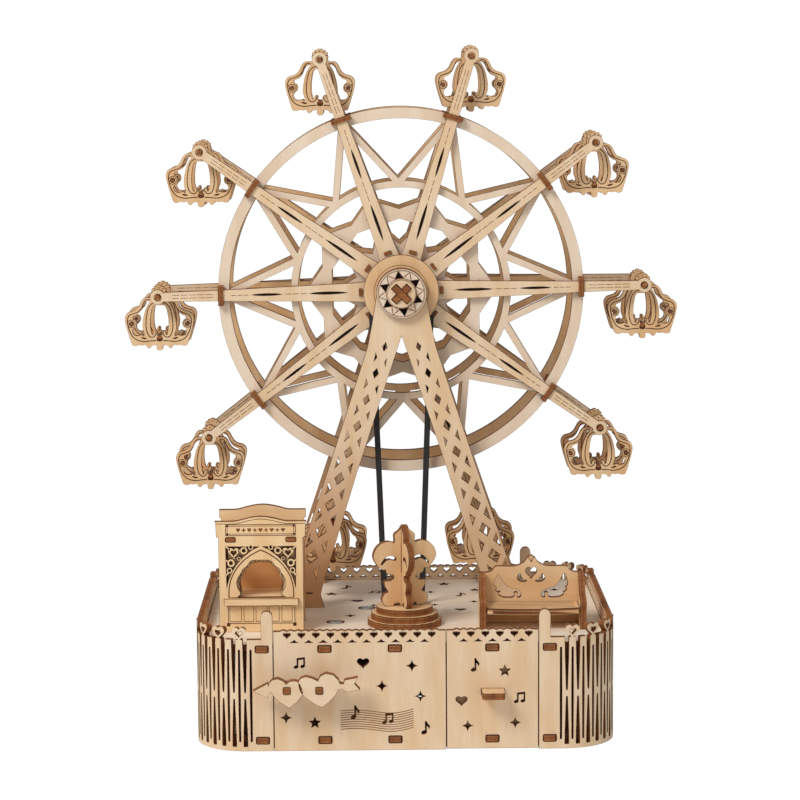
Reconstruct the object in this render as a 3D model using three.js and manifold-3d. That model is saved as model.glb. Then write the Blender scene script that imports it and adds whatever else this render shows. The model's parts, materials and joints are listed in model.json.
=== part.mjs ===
// Laser-cut plywood Ferris wheel music box, in millimetres, +Z up, front towards -Y.
// The origin is the middle of the footprint, on the surface that the box stands on.
import * as THREE from 'three';
import { mergeVertices } from 'three/addons/utils/BufferGeometryUtils.js';
import Module from 'manifold-3d';

const wasm = await Module();
wasm.setup();

// Stock and clearances
const ply = 3;
const gap = 0.3;

// Base box
const baseWidth = 193;
const baseDepth = 152;
const cornerRadius = 24;
const seamX = 60.4;
const drawerLeftX = 18.3;
const panelTop = 56.2;
const cornerTop = 52.1;
const fingerTop = 64.5;
const fingerWidth = 5.2;
const deckTop = 49;
const floorTop = 6.5;
const tabWidth = 5.8;
const tabCentres = [-65.5, -37, -5, 39.3, 65.5];
const halfWidth = baseWidth / 2;
const halfDepth = baseDepth / 2;

// Wheel
const hubHeight = 202;
const armCount = 10;
const armStep = (2 * Math.PI) / armCount;
const armPhase = THREE.MathUtils.degToRad(1);
const pivotRadius = 117.3;
const rimOuter = 88.1;
const rimWidth = 5.3;
const innerRimOuter = 53.1;
const innerRimWidth = 3.4;
const starRadius = 43.7;
const starStrutWidth = 4.5;
const hubStarTip = 33.8;
const hubStarValley = 22.4;
const armTaperRadius = 113.6;
const armHalfWidths = [4.4, 2.7, 2.15];
const strutWidth = 3.2;
const webWidth = 6;
const axleLong = 10;
const axleThick = 3;

// Places along Y of the plates on the axle, each the front face of its plate
const axleFront = -1;
const axleBack = 74;
const hubCapY = 2.7;
const frontLegsY = 6;
const pulleyFlangeY = 9.4;
const frontSpokesY = 15.6;
const frontRimY = 18.6;
const backRimY = 51.8;
const backSpokesY = 54.8;
const backLegsY = 64.4;
const backCapY = 67.7;
const cabinFrontY = 24;
const cabinBackY = 49.4;

// Belt drive
const upperBeltRadius = 14.5;
const lowerBeltRadius = 8.1;
const beltThick = 2.4;
const lowerPulleyZ = 28;

// Drawer and lever
const drawerDepth = 62;
const leverTravel = 6;
const leverZ = 30.8;
const pegCentres = [-54, -39.3];
const pegWidth = 3.5;

function finish(color, roughness, metalness) {
  return new THREE.MeshStandardMaterial({ color, roughness, metalness });
}

const model = new THREE.Group();

function addPiece(name, geometry, material, parent = model) {
  const mesh = new THREE.Mesh(geometry, material);
  mesh.name = name;
  parent.add(mesh);
  return mesh;
}

// ---- shape helpers ----

function polygon(points) {
  return new THREE.Shape(points.map(([x, y]) => new THREE.Vector2(x, y)));
}

function rectangle(x0, y0, x1, y1) {
  return polygon([[x0, y0], [x1, y0], [x1, y1], [x0, y1]]);
}

function disc(x, y, radius) {
  const shape = new THREE.Shape();
  shape.absarc(x, y, radius, 0, 2 * Math.PI, false);
  return shape;
}

function withHoles(shape, holes) {
  shape.holes.push(...holes);
  return shape;
}

function mirrored(points) {
  const back = points.filter(([x]) => x !== 0).map(([x, y]) => [-x, y]).reverse();
  return [...points, ...back];
}

function extrude(shape, depth, curveSegments) {
  return new THREE.ExtrudeGeometry(shape, { depth, bevelEnabled: false, curveSegments });
}

// A plate standing across the front: shape x is X, shape y is Z, front face at Y = front.
function upright(shape, front, thickness = ply, curveSegments = 6) {
  const geometry = extrude(shape, thickness, curveSegments);
  return geometry.rotateX(Math.PI / 2).translate(0, front + thickness, 0);
}

// A plate lying flat: shape x is X, shape y is Y, underside at Z = bottom.
function flat(shape, bottom, thickness = ply, curveSegments = 6) {
  return extrude(shape, thickness, curveSegments).translate(0, 0, bottom);
}

// A plate standing along the side: shape x is Y, shape y is Z, left face at X = left.
function sideways(shape, left, thickness = ply, curveSegments = 6) {
  const geometry = extrude(shape, thickness, curveSegments);
  return geometry.rotateX(Math.PI / 2).rotateZ(Math.PI / 2).translate(left, 0, 0);
}

function box(x0, x1, y0, y1, z0, z1) {
  const geometry = new THREE.BoxGeometry(x1 - x0, y1 - y0, z1 - z0);
  return geometry.translate((x0 + x1) / 2, (y0 + y1) / 2, (z0 + z1) / 2);
}

// ---- joining and cutting ----

function solid(geometry) {
  const bare = geometry.clone();
  bare.deleteAttribute('normal');
  bare.deleteAttribute('uv');
  const merged = mergeVertices(bare);
  return new wasm.Manifold(new wasm.Mesh({
    numProp: 3,
    vertProperties: Float32Array.from(merged.attributes.position.array),
    triVerts: Uint32Array.from(merged.index.array),
  }));
}

function toGeometry(manifold) {
  const mesh = manifold.getMesh();
  const geometry = new THREE.BufferGeometry();
  geometry.setAttribute('position', new THREE.BufferAttribute(mesh.vertProperties, 3));
  geometry.setIndex(new THREE.BufferAttribute(mesh.triVerts, 1));
  geometry.computeVertexNormals();
  return geometry;
}

function joined(geometries, cuts = []) {
  let whole = geometries.map(solid).reduce((sum, piece) => sum.add(piece));
  for (const cut of cuts) {
    whole = whole.subtract(solid(cut));
  }
  return toGeometry(whole);
}

// An upright plate with holes cut right through it.
function pierced(shape, holes, front, thickness = ply, curveSegments = 6) {
  const cuts = holes.map((hole) => upright(hole, front - 1, thickness + 2, curveSegments));
  return joined([upright(shape, front, thickness, curveSegments)], cuts);
}

// ---- base box ----

function roundedOutline(width, depth, radius) {
  const x = width / 2 - radius;
  const y = depth / 2 - radius;
  const shape = new THREE.Shape();
  shape.absarc(x, y, radius, 0, Math.PI / 2, false);
  shape.absarc(-x, y, radius, Math.PI / 2, Math.PI, false);
  shape.absarc(-x, -y, radius, Math.PI, 1.5 * Math.PI, false);
  shape.absarc(x, -y, radius, 1.5 * Math.PI, 2 * Math.PI, false);
  return shape;
}

// Deck and floor: a plate inside the walls with tabs that reach through front and back.
function tabbedPlate(bottom, cuts) {
  const inset = 2 * (ply + gap);
  const outline = roundedOutline(baseWidth - inset, baseDepth - inset, cornerRadius - ply);
  const sheet = flat(outline, bottom, ply, 3);
  const reach = halfDepth - ply - gap;
  const tabs = tabCentres.flatMap((x) => [-1, 1].map((side) => {
    const near = side * (reach - 1);
    const far = side * halfDepth;
    return box(x - tabWidth / 2, x + tabWidth / 2, Math.min(near, far), Math.max(near, far),
      bottom, bottom + ply);
  }));
  return joined([sheet, ...tabs], cuts);
}

// The slots that one column of tabs passes through, right through front and back.
const cutDepth = halfDepth + 1;
function tabSlots(x) {
  return [deckTop - ply, floorTop - ply].map((z) => box(x - tabWidth / 2 - gap, x + tabWidth / 2 + gap,
    -cutDepth, cutDepth, z - gap, z + ply + gap));
}

// A side wall is one sheet bent round both corners, from the front seam to the back seam.
function bentWall(side) {
  const cornerX = halfWidth - cornerRadius;
  const cornerY = halfDepth - cornerRadius;
  const inner = cornerRadius - ply;
  const seam = seamX + gap / 2;
  const footprint = new THREE.Shape();
  footprint.moveTo(seam, -halfDepth);
  footprint.absarc(cornerX, -cornerY, cornerRadius, -Math.PI / 2, 0, false);
  footprint.absarc(cornerX, cornerY, cornerRadius, 0, Math.PI / 2, false);
  footprint.lineTo(seam, halfDepth);
  footprint.lineTo(seam, halfDepth - ply);
  footprint.absarc(cornerX, cornerY, inner, Math.PI / 2, 0, true);
  footprint.absarc(cornerX, -cornerY, inner, 0, -Math.PI / 2, true);
  footprint.lineTo(seam, -halfDepth + ply);
  const fence = box(halfWidth - ply, halfWidth, -cornerY, cornerY, deckTop, panelTop);
  const fingers = [-halfDepth, halfDepth - ply].map((y) => box(seam, seam + fingerWidth, y, y + ply,
    deckTop, fingerTop));
  const right = joined([flat(footprint, 0, cornerTop, 4), fence, ...fingers], tabSlots(tabCentres[4]));
  return side > 0 ? right : toGeometry(solid(right).mirror([1, 0, 0]));
}

const walls = finish('#e3cba5', 0.75, 0);
const plates = finish('#e0b985', 0.75, 0);
const scorched = finish('#a0622d', 0.8, 0);

const legFootX = [46, 56];
const legSlotYs = [frontLegsY, backLegsY];
const legSlots = legSlotYs.flatMap((y) => [-1, 1].map((side) => {
  const xs = legFootX.map((x) => side * x).sort((a, b) => a - b);
  return box(xs[0] - gap, xs[1] + gap, y - gap, y + ply + gap, 0, deckTop + 1);
}));
const beltMiddleY = (pulleyFlangeY + ply + frontSpokesY) / 2;
const beltSlots = [-1, 1].map((side) => box(side * 9.3 - 4, side * 9.3 + 4, beltMiddleY - 2.6,
  beltMiddleY + 2.6, 0, deckTop + 1));
const screwPlaces = [[-32.6, -26.3], [-17.6, 4.5], [-21.8, -49.5]];
const screwRecesses = screwPlaces.map(([x, y]) => flat(disc(x, y, 4.3), deckTop - ply - 1, ply + 2));

addPiece('base_floor', tabbedPlate(floorTop - ply, []), walls);
addPiece('deck_plate', tabbedPlate(deckTop - ply, [...legSlots, ...beltSlots, ...screwRecesses]), walls);
addPiece('left_wall', bentWall(-1), walls);
addPiece('right_wall', bentWall(1), walls);

// A flat panel between two seams, with its tab slots and any other cuts.
function panel(left, right, bottom, front, cuts) {
  const slots = tabCentres.filter((x) => x > left && x < right).flatMap(tabSlots);
  return [upright(rectangle(left, bottom, right, panelTop), front), [...slots, ...cuts]];
}

// The lever's pegs slide along slots in the front panel.
const leverSlots = pegCentres.map((x) => box(x - pegWidth / 2 - 0.5, x + pegWidth / 2 + leverTravel + 0.5,
  -cutDepth, -halfDepth + ply + 1, leverZ - ply / 2 - 0.5, leverZ + ply / 2 + 0.5));
const frontLeft = -seamX + gap / 2;
const frontRight = drawerLeftX - gap / 2;
const [frontSheet, frontCuts] = panel(frontLeft, frontRight, 0, -halfDepth, leverSlots);
addPiece('front_panel', joined([frontSheet], frontCuts), walls);

const keyX = -25;
const keyZ = 28;
const keyShaftRadius = 2;
const keyHole = upright(disc(keyX, keyZ, keyShaftRadius + 0.6), halfDepth - ply - 1, ply + 2);
const [backSheet, backCuts] = panel(frontLeft, -frontLeft, 0, halfDepth - ply, [keyHole]);
addPiece('back_panel', joined([backSheet], backCuts), walls);

// ---- drawer ----

const drawerRight = seamX - gap / 2;
const pullTab = box(34.3, 44.7, -halfDepth - 10, -halfDepth + 1, 25.4, 28.4);
const [drawerSheet, drawerCuts] = panel(drawerLeftX + gap / 2, drawerRight, 0.4, -halfDepth, []);
addPiece('drawer_front', joined([drawerSheet, pullTab], drawerCuts), walls);

const trayFront = -halfDepth + ply;
const trayOuter = box(21.5, 57, trayFront, trayFront + drawerDepth, floorTop + 0.5, 40);
const trayHollow = box(24.5, 54, trayFront + ply, trayFront + drawerDepth - ply, floorTop + 0.5 + ply, 41);
addPiece('drawer_tray', joined([trayOuter], [trayHollow]), plates);

// ---- start lever: heart-and-arrow plate on two pegs, with a carriage bar behind the panel ----

function leverPlate() {
  const arrow = [[-69.3, 0], [-62, 3.7], [-61, 1.5], [-57, 5.7], [-51.5, 3], [-48, 8.2], [-42, 5.2],
    [-36, 8.2], [-30.5, 3.2], [-26, 1.4], [-21, 3.7], [-22.8, 0], [-21, -3.6], [-26, -1.4],
    [-33, -2.8], [-38, -7.6], [-45, -3.3], [-53.3, -7.8], [-60.5, -1.6], [-62, -3.8]];
  return upright(polygon(arrow.map(([x, z]) => [x, leverZ + z])), -halfDepth - 11);
}
const pegs = pegCentres.map((x) => box(x - pegWidth / 2, x + pegWidth / 2, -halfDepth - 9,
  -halfDepth + ply + gap + 1, leverZ - ply / 2, leverZ + ply / 2));
const carriage = box(pegCentres[0] - 5, pegCentres[1] + 5,
  -halfDepth + ply + gap, -halfDepth + 2 * ply + gap, leverZ - 6, leverZ + 6);
addPiece('heart_arrow_lever', joined([leverPlate(), ...pegs, carriage]), plates);

// ---- A-frame legs ----

// Side of one leg: inner and outer edges lean out from the hub to a flared foot.
function legPoints() {
  return [[12, hubHeight - 2], [16.4, 176], [36.1, 116], [54.9, 61.5],
    [60, deckTop], [legFootX[1], deckTop],
    [legFootX[1], deckTop - ply], [legFootX[0], deckTop - ply], [legFootX[0], deckTop], [38, deckTop],
    [38.7, 61.5], [21.7, 116], [1.8, 176], [0, 181.5]];
}

// The lattice: diamonds down the middle line of a leg, larger towards the foot.
function legDiamonds(side) {
  const count = 7;
  return Array.from({ length: count }, (_, i) => {
    const z = 170 - i * 12.4;
    const x = side * (11.6 + (170 - z) * 0.325);
    const half = 1.4 + i * 0.25;
    return polygon([[x - half, z], [x, z - half * 1.4], [x + half, z], [x, z + half * 1.4]]);
  });
}

function legFrame(front) {
  const right = legPoints();
  const left = right.slice(0, -1).map(([x, y]) => [-x, y]).reverse();
  const crown = Array.from({ length: 5 }, (_, i) => {
    const angle = THREE.MathUtils.degToRad(150 - i * 30);
    return [12 * Math.cos(angle), hubHeight + 12 * Math.sin(angle)];
  });
  const outline = polygon([...right, ...left, ...crown]);
  return pierced(outline, [disc(0, hubHeight, 6), ...legDiamonds(1), ...legDiamonds(-1)], front);
}

addPiece('front_legs', legFrame(frontLegsY), walls);
addPiece('back_legs', legFrame(backLegsY), walls);

// ---- ticket booth ----

const boothFrontY = -46.4;
const boothBackY = -20;
const boothOutline = [[-86, deckTop], [-47, deckTop], [-47, 91.6], [-46, 93], [-46, 100], [-56, 100],
  [-62, 101.2], [-66.5, 102.3], [-71, 101.2], [-77, 100], [-88.5, 100], [-88.5, 93], [-86, 91.6]];

function boothWindow() {
  const window = new THREE.Shape();
  window.moveTo(-78.6, 60.2);
  window.lineTo(-55, 60.2);
  window.lineTo(-55, 70);
  window.quadraticCurveTo(-56, 79, -66.8, 80.8);
  window.quadraticCurveTo(-77.6, 79, -78.6, 70);
  return window;
}

addPiece('booth_front', pierced(polygon(boothOutline), [boothWindow()], boothFrontY), plates);
addPiece('booth_back', upright(polygon(boothOutline), boothBackY - ply), plates);
for (const [name, left] of [['booth_side_left', -85], ['booth_side_right', -51]]) {
  const wall = rectangle(boothFrontY + ply, deckTop, boothBackY - ply, 91);
  const light = rectangle(-38, 66, -28, 82);
  addPiece(name, sideways(withHoles(wall, [light]), left), plates);
}
addPiece('booth_counter', box(-78.3, -55.3, -51.4, boothBackY - ply, 60.5, 63.2), plates);

// ---- bench ----

const benchLeft = 34.8;
const benchRight = 84.6;
const benchMiddle = (benchLeft + benchRight) / 2;
const benchBackFront = -31.5;
const benchBackHalf = [[benchRight - benchMiddle, deckTop], [benchRight - benchMiddle, 73.6], [16, 75.4],
  [11, 78.5], [5, 80.2], [0, 81]];
const benchBackPoints = mirrored(benchBackHalf).map(([x, y]) => [x + benchMiddle, y]);
addPiece('bench_back', upright(polygon(benchBackPoints), benchBackFront), plates);
addPiece('bench_seat',
  box(benchLeft + ply + gap, benchRight - ply - gap, -49, benchBackFront - gap, 56.3, 59.3),
  plates);
const benchSide = [[-48, deckTop], [benchBackFront - gap, deckTop], [benchBackFront - gap, 73.6],
  [-36, 73.6],
  [-37.5, 66], [-47, 63], [-48.5, 60.5]];
addPiece('bench_side_left', sideways(polygon(benchSide), benchLeft), plates);
addPiece('bench_side_right', sideways(polygon(benchSide), benchRight - ply), plates);

// ---- fountain: three stacked tiers with two lily plates cross-lapped on top ----

const fountainY = -31.3;
[['low', 17.5], ['mid', 15.9], ['top', 13.3]].forEach(([name, radius], i) => {
  addPiece(`fountain_tier_${name}`, flat(disc(0, fountainY, radius), deckTop + i * ply, ply, 10), plates);
});
const lilyBase = deckTop + 3 * ply;
const lilyHalf = [[5, lilyBase], [8, 59], [11.35, 61], [10.4, 66], [5, 70], [4.5, 72], [9, 74.5],
  [14.5, 77], [15.25, 80.5], [12, 84], [8, 83], [5, 85], [4.8, 88], [2.6, 92], [0, 95.5]];
const lapHalf = ply / 2 + gap;
const lapMiddle = 74;
const across = solid(upright(polygon(mirrored(lilyHalf)), fountainY - ply / 2));
const along = solid(sideways(polygon(mirrored(lilyHalf).map(([x, y]) => [x + fountainY, y])), -ply / 2));
const upperSlot = box(-lapHalf, lapHalf, fountainY - ply, fountainY + ply, lapMiddle - gap, 100);
const lowerSlot = box(-ply, ply, fountainY - lapHalf, fountainY + lapHalf, lilyBase - 1, lapMiddle + gap);
const lilyTurn = 13 * Math.PI / 180;
const turnedLily = (piece) => toGeometry(piece)
  .translate(0, -fountainY, 0).rotateZ(lilyTurn).translate(0, fountainY, 0);
addPiece('fountain_lily_across', turnedLily(across.subtract(solid(upperSlot))), plates);
addPiece('fountain_lily_along', turnedLily(along.subtract(solid(lowerSlot))), plates);

// ---- wheel ----

const wheel = new THREE.Group();
wheel.position.z = hubHeight;
model.add(wheel);

// The axle is two strips halved into each other: a cross of two bars at 45 degrees.
function axleCross(grow) {
  const long = axleLong / 2 + grow;
  const thick = axleThick / 2 + grow;
  const quarter = [[long, -thick], [long, thick], [thick, thick]];
  const points = [];
  for (let turn = 0; turn < 4; turn += 1) {
    const angle = Math.PI / 4 + (turn * Math.PI) / 2;
    for (const [x, y] of quarter) {
      points.push([x * Math.cos(angle) - y * Math.sin(angle), x * Math.sin(angle) + y * Math.cos(angle)]);
    }
  }
  return polygon(points);
}

function polar(radius, angle, across = 0) {
  const [cosine, sine] = [Math.cos(angle), Math.sin(angle)];
  return [radius * cosine - across * sine, radius * sine + across * cosine];
}

function armAngle(index) {
  return armPhase + index * armStep;
}

function hubDisc(radius, front, thickness = ply) {
  return pierced(disc(0, 0, radius), [axleCross(gap)], front, thickness, 10);
}

// Ten arms on one plate: wide at the hub, narrow past the rim, with a round eye at the tip.
function spokePlate(front) {
  const valley = 16;
  const eyeRadius = 3.6;
  const points = [];
  const eyes = [];
  for (let i = 0; i < armCount; i += 1) {
    const angle = armAngle(i);
    points.push(polar(valley, angle - armStep / 2));
    const reaches = [hubStarValley, rimOuter - rimWidth, armTaperRadius];
    points.push(...reaches.map((reach, k) => polar(reach, angle, -armHalfWidths[k])));
    for (let k = -2; k <= 2; k += 1) {
      const turn = angle + k * 0.7;
      const [x, y] = polar(pivotRadius, angle);
      points.push([x + eyeRadius * Math.cos(turn), y + eyeRadius * Math.sin(turn)]);
    }
    points.push(...reaches.map((reach, k) => polar(reach, angle, armHalfWidths[k])).reverse());
    const [eyeX, eyeY] = polar(pivotRadius, angle);
    eyes.push(disc(eyeX, eyeY, 2.1));
  }
  return pierced(polygon(points), [axleCross(gap), ...eyes], front, ply, 4);
}

// A straight strut between two points in the plate.
function strut([x0, y0], [x1, y1], width, front) {
  const length = Math.hypot(x1 - x0, y1 - y0);
  const nx = (-(y1 - y0) / length) * (width / 2);
  const ny = ((x1 - x0) / length) * (width / 2);
  const corners = [[x0 + nx, y0 + ny], [x0 - nx, y0 - ny], [x1 - nx, y1 - ny], [x1 + nx, y1 + ny]];
  return upright(polygon(corners), front);
}

// Rim plate: outer and inner rings, zigzag braces, a star of struts and a pointed hub.
function rimPlate(front) {
  const outerEdge = rimOuter - rimWidth;
  const outerRing = upright(withHoles(disc(0, 0, rimOuter), [disc(0, 0, outerEdge)]), front, ply, 20);
  const innerEdge = innerRimOuter - innerRimWidth;
  const innerRing = upright(withHoles(disc(0, 0, innerRimOuter), [disc(0, 0, innerEdge)]), front, ply, 15);
  const hubPoints = [];
  const pieces = [];
  for (let i = 0; i < armCount; i += 1) {
    const angle = armAngle(i);
    hubPoints.push(polar(hubStarTip, angle), polar(hubStarValley, angle + armStep / 2));
    pieces.push(strut(polar(hubStarValley, angle), polar(outerEdge + 1, angle), webWidth, front));
    const [from, to] = [polar(starRadius, angle), polar(starRadius, angle + 2 * armStep)];
    pieces.push(strut(from, to, starStrutWidth, front));
    for (const side of [-1, 1]) {
      const outer = polar(rimOuter - rimWidth / 2, angle);
      const inner = polar(innerRimOuter - innerRimWidth / 2, angle + (side * armStep) / 2);
      pieces.push(strut(outer, inner, strutWidth, front));
    }
  }
  const hub = upright(polygon(hubPoints), front);
  const bore = upright(axleCross(gap), front - 1, ply + 2);
  return joined([outerRing, innerRing, hub, ...pieces], [bore]);
}

addPiece('wheel_axle', upright(axleCross(0), axleFront, axleBack - axleFront), scorched, wheel);
addPiece('hub_cap_front', joined([hubDisc(11.9, hubCapY), hubDisc(6.9, hubCapY - ply)]), walls, wheel);
addPiece('hub_cap_back', hubDisc(11.9, backCapY), walls, wheel);
addPiece('belt_pulley', joined([hubDisc(18, pulleyFlangeY),
  hubDisc(upperBeltRadius - beltThick / 2 - gap, pulleyFlangeY + ply, frontSpokesY - pulleyFlangeY - ply)]),
plates, wheel);
addPiece('spokes_front', spokePlate(frontSpokesY), plates, wheel);
addPiece('spokes_back', joined([spokePlate(backSpokesY), hubDisc(18, backSpokesY + ply),
  hubDisc(8, backSpokesY + 2 * ply, backLegsY - backSpokesY - 2 * ply - gap)]), plates, wheel);
addPiece('wheel_rim_front', rimPlate(frontRimY), walls, wheel);
addPiece('wheel_rim_back', rimPlate(backRimY), walls, wheel);

const numbers = Array.from({ length: armCount }, (_, i) => String(i + 1).padStart(2, '0'));
const spacerRadius = rimOuter - rimWidth / 2;
const spacerWidth = 11;
numbers.forEach((number, i) => {
  const bar = box(spacerRadius - ply / 2, spacerRadius + ply / 2, frontRimY + ply + gap, backRimY - gap,
    -spacerWidth / 2, spacerWidth / 2);
  bar.rotateY(-armAngle(i));
  addPiece(`rim_spacer_${number}`, bar, scorched, wheel);
});

// A crown-shaped cabin: front and back plates, a floor between them and the bar it hangs on.
const cabinHalf = [[0, 6.2], [5.9, 4.7], [10.7, 1.5], [15.1, -4.4], [16.4, -8.3], [14.2, -15.1],
  [11.2, -20.5], [4.9, -22], [0, -25.3]].map(([x, y]) => [-x, y]);
const cabinWindow = polygon([[-4, -4], [-6.5, -12], [-4, -19], [4, -19], [6.5, -12], [4, -4]]);
const cabinOutline = polygon(mirrored(cabinHalf));
const barFront = frontSpokesY - 0.8;
const barBack = backSpokesY + ply + 0.8;

function cabin() {
  const front = pierced(cabinOutline, [cabinWindow], cabinFrontY);
  const back = pierced(cabinOutline, [cabinWindow], cabinBackY - ply);
  const floor = box(-10.5, 10.5, cabinFrontY + 1, cabinBackY - 1, -22, -19.5);
  const bar = box(-1.1, 1.1, barFront, barBack, -1.1, 1.1);
  return joined([front, back, floor, bar]);
}

numbers.forEach((number, i) => {
  const [x, z] = polar(pivotRadius, armAngle(i));
  addPiece(`cabin_${number}`, cabin(), plates, wheel).position.set(x, 0, z);
});

// ---- belt drive and music movement ----

// Outline of a belt round both pulleys, grown or shrunk from its middle line.
function beltOutline(grow) {
  const upper = upperBeltRadius + grow;
  const lower = lowerBeltRadius + grow;
  const span = hubHeight - lowerPulleyZ;
  const lean = Math.asin((upper - lower) / span);
  const shape = new THREE.Shape();
  shape.absarc(0, hubHeight, upper, -lean, Math.PI + lean, false);
  shape.absarc(0, lowerPulleyZ, lower, Math.PI + lean, 2 * Math.PI - lean, false);
  return shape;
}

const beltY = beltMiddleY - beltThick / 2;
const rubber = finish('#1b1a1a', 0.85, 0);
addPiece('drive_belt', upright(withHoles(beltOutline(beltThick / 2), [beltOutline(-beltThick / 2)]), beltY,
  beltThick, 10), rubber);

const flangeRadius = 10.4;
const coreRadius = lowerBeltRadius - beltThick / 2 - gap;
const pulleyParts = [[flangeRadius, pulleyFlangeY, ply], [coreRadius, pulleyFlangeY + ply, 3.2],
  [flangeRadius, frontSpokesY, ply], [2, pulleyFlangeY - 4, 4]];
addPiece('lower_pulley', joined(pulleyParts.map(([radius, y, depth]) =>
  upright(disc(0, lowerPulleyZ, radius), y, depth, 8))), plates);

const brass = finish('#b98a3c', 0.35, 1);
const steel = finish('#b9b9b8', 0.3, 1);
const movementTop = deckTop - ply - gap;
const movementBody = [
  box(-42, -9, -57, 8.5, movementTop - ply, movementTop),
  box(-38, -13, -53, 4, 24, movementTop - ply + 1),
  box(-14, 4.5, -8, 4, 22, 34),
];
const screwShaft = 1.2;
const screwHoles = screwPlaces.map(([x, y]) => flat(disc(x, y, screwShaft + gap), movementTop - 8, 9));
addPiece('music_movement', joined(movementBody, screwHoles), brass);
screwPlaces.forEach(([x, y], i) => {
  const head = [[0, movementTop - 7], [screwShaft, movementTop - 7], [screwShaft, movementTop],
    [2.6, movementTop], [2.6, movementTop + 0.8], [1.6, movementTop + 1.9], [0, movementTop + 2.2]];
  const screw = new THREE.LatheGeometry(head.map(([r, h]) => new THREE.Vector2(r, h)), 12);
  addPiece(`deck_screw_${i + 1}`, screw.rotateX(Math.PI / 2).translate(x, y, 0), steel);
});

// The winding key: a long shaft from the movement out through the back, with a two-lobed grip.
const keyShaft = upright(disc(keyX, keyZ, keyShaftRadius), 4.5, halfDepth + 2 - 4.5, 5);
const grip = upright(polygon([[-13, -5], [-9, -7], [-3, -3], [3, -3], [9, -7], [13, -5], [13, 5], [9, 7],
  [3, 3], [-3, 3], [-9, 7], [-13, 5]].map(([x, y]) => [x + keyX, y + keyZ])), halfDepth + 1);
const boss = upright(disc(keyX, keyZ, 5), halfDepth + 1, 10, 5);
addPiece('winding_key', joined([keyShaft, boss, grip]), plates);

export default model;
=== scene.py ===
import json
import math

import bmesh
import bpy
import numpy as np
from mathutils import Matrix, Vector
from mathutils.geometry import tessellate_polygon


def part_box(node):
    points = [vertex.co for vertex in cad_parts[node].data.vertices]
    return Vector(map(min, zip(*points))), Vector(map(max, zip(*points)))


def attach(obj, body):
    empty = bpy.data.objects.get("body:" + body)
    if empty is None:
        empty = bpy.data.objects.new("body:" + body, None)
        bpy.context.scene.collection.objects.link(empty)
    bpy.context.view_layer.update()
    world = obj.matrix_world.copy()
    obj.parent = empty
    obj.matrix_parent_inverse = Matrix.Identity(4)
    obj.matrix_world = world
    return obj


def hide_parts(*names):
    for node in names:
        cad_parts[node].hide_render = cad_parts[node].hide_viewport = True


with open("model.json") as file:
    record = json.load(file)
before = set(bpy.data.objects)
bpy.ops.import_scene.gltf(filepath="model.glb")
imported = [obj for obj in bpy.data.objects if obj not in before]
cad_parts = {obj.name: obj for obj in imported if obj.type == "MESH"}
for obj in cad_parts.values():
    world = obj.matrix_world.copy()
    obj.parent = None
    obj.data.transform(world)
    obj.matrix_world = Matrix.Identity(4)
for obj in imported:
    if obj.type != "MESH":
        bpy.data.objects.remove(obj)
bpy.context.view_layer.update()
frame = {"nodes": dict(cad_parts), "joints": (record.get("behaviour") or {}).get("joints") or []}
joints = {joint["name"]: joint for joint in frame["joints"]}
print("frame loaded:", len(frame["nodes"]), "nodes")

mm = 0.001
ply = 3.0        # sheet thickness in mm, the stock that every plate is cut from
collection = bpy.context.scene.collection


def boxOf(node):    # a CAD node's lowest and highest corner, in mm
    low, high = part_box(node)
    return np.array(low) / mm, np.array(high) / mm


# Outlines: closed arrays of points in mm, one row per point.

def arc(cx, cy, radius, start, stop, count):    # circle arc from start to stop degrees
    t = np.radians(np.linspace(start, stop, count))
    return np.c_[cx + radius * np.cos(t), cy + radius * np.sin(t)]


def circle(cx, cy, radius, count=32):    # full circle, evenly spaced
    return arc(cx, cy, radius, 0, 360, count + 1)[:-1]


def points(*rows):
    return np.array(rows, float)


# polygon whose corners are blended by quadratic curves of that reach
def rounded(corners, radius, steps=4):
    before = np.roll(corners, 1, axis=0) - corners
    after = np.roll(corners, -1, axis=0) - corners
    reachBefore = np.minimum(radius, np.linalg.norm(before, axis=1) * 0.49)[:, None]
    reachAfter = np.minimum(radius, np.linalg.norm(after, axis=1) * 0.49)[:, None]
    start = corners + before / np.linalg.norm(before, axis=1)[:, None] * reachBefore
    stop = corners + after / np.linalg.norm(after, axis=1)[:, None] * reachAfter
    t = np.linspace(0, 1, steps + 1)[None, :, None]
    curve = (1 - t) ** 2 * start[:, None] + 2 * t * (1 - t) * corners[:, None] + t ** 2 * stop[:, None]
    return curve.reshape(-1, 2)


def slab(x0, y0, x1, y1, radius=0.5):    # rectangle with softened corners
    return rounded(points((x0, y0), (x1, y0), (x1, y1), (x0, y1)), radius, 3)


def mirrored(half):    # a right-hand half profile plus its mirror image across x = 0
    return np.vstack([half, (half * (-1, 1))[::-1]])


def turned(shape, degrees, cx=0.0, cy=0.0):
    c, s = math.cos(math.radians(degrees)), math.sin(math.radians(degrees))
    return shape @ np.array([[c, s], [-s, c]]) + (cx, cy)


def splineAt(a, b, c, d, t):    # Catmull-Rom point between b and c
    bend, twist = 2 * a - 5 * b + 4 * c - d, 3 * b - a - 3 * c + d
    return 0.5 * (2 * b + (c - a) * t + bend * t ** 2 + twist * t ** 3)


def smoothLoop(knots, steps=6):    # closed Catmull-Rom curve through the knots
    k = np.asarray(knots, float)
    a, b, c, d = np.roll(k, 1, 0), k, np.roll(k, -1, 0), np.roll(k, -2, 0)
    t = np.linspace(0, 1, steps, endpoint=False)[None, :, None]
    a, b, c, d = (v[:, None] for v in (a, b, c, d))
    return splineAt(a, b, c, d, t).reshape(-1, 2)


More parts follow.
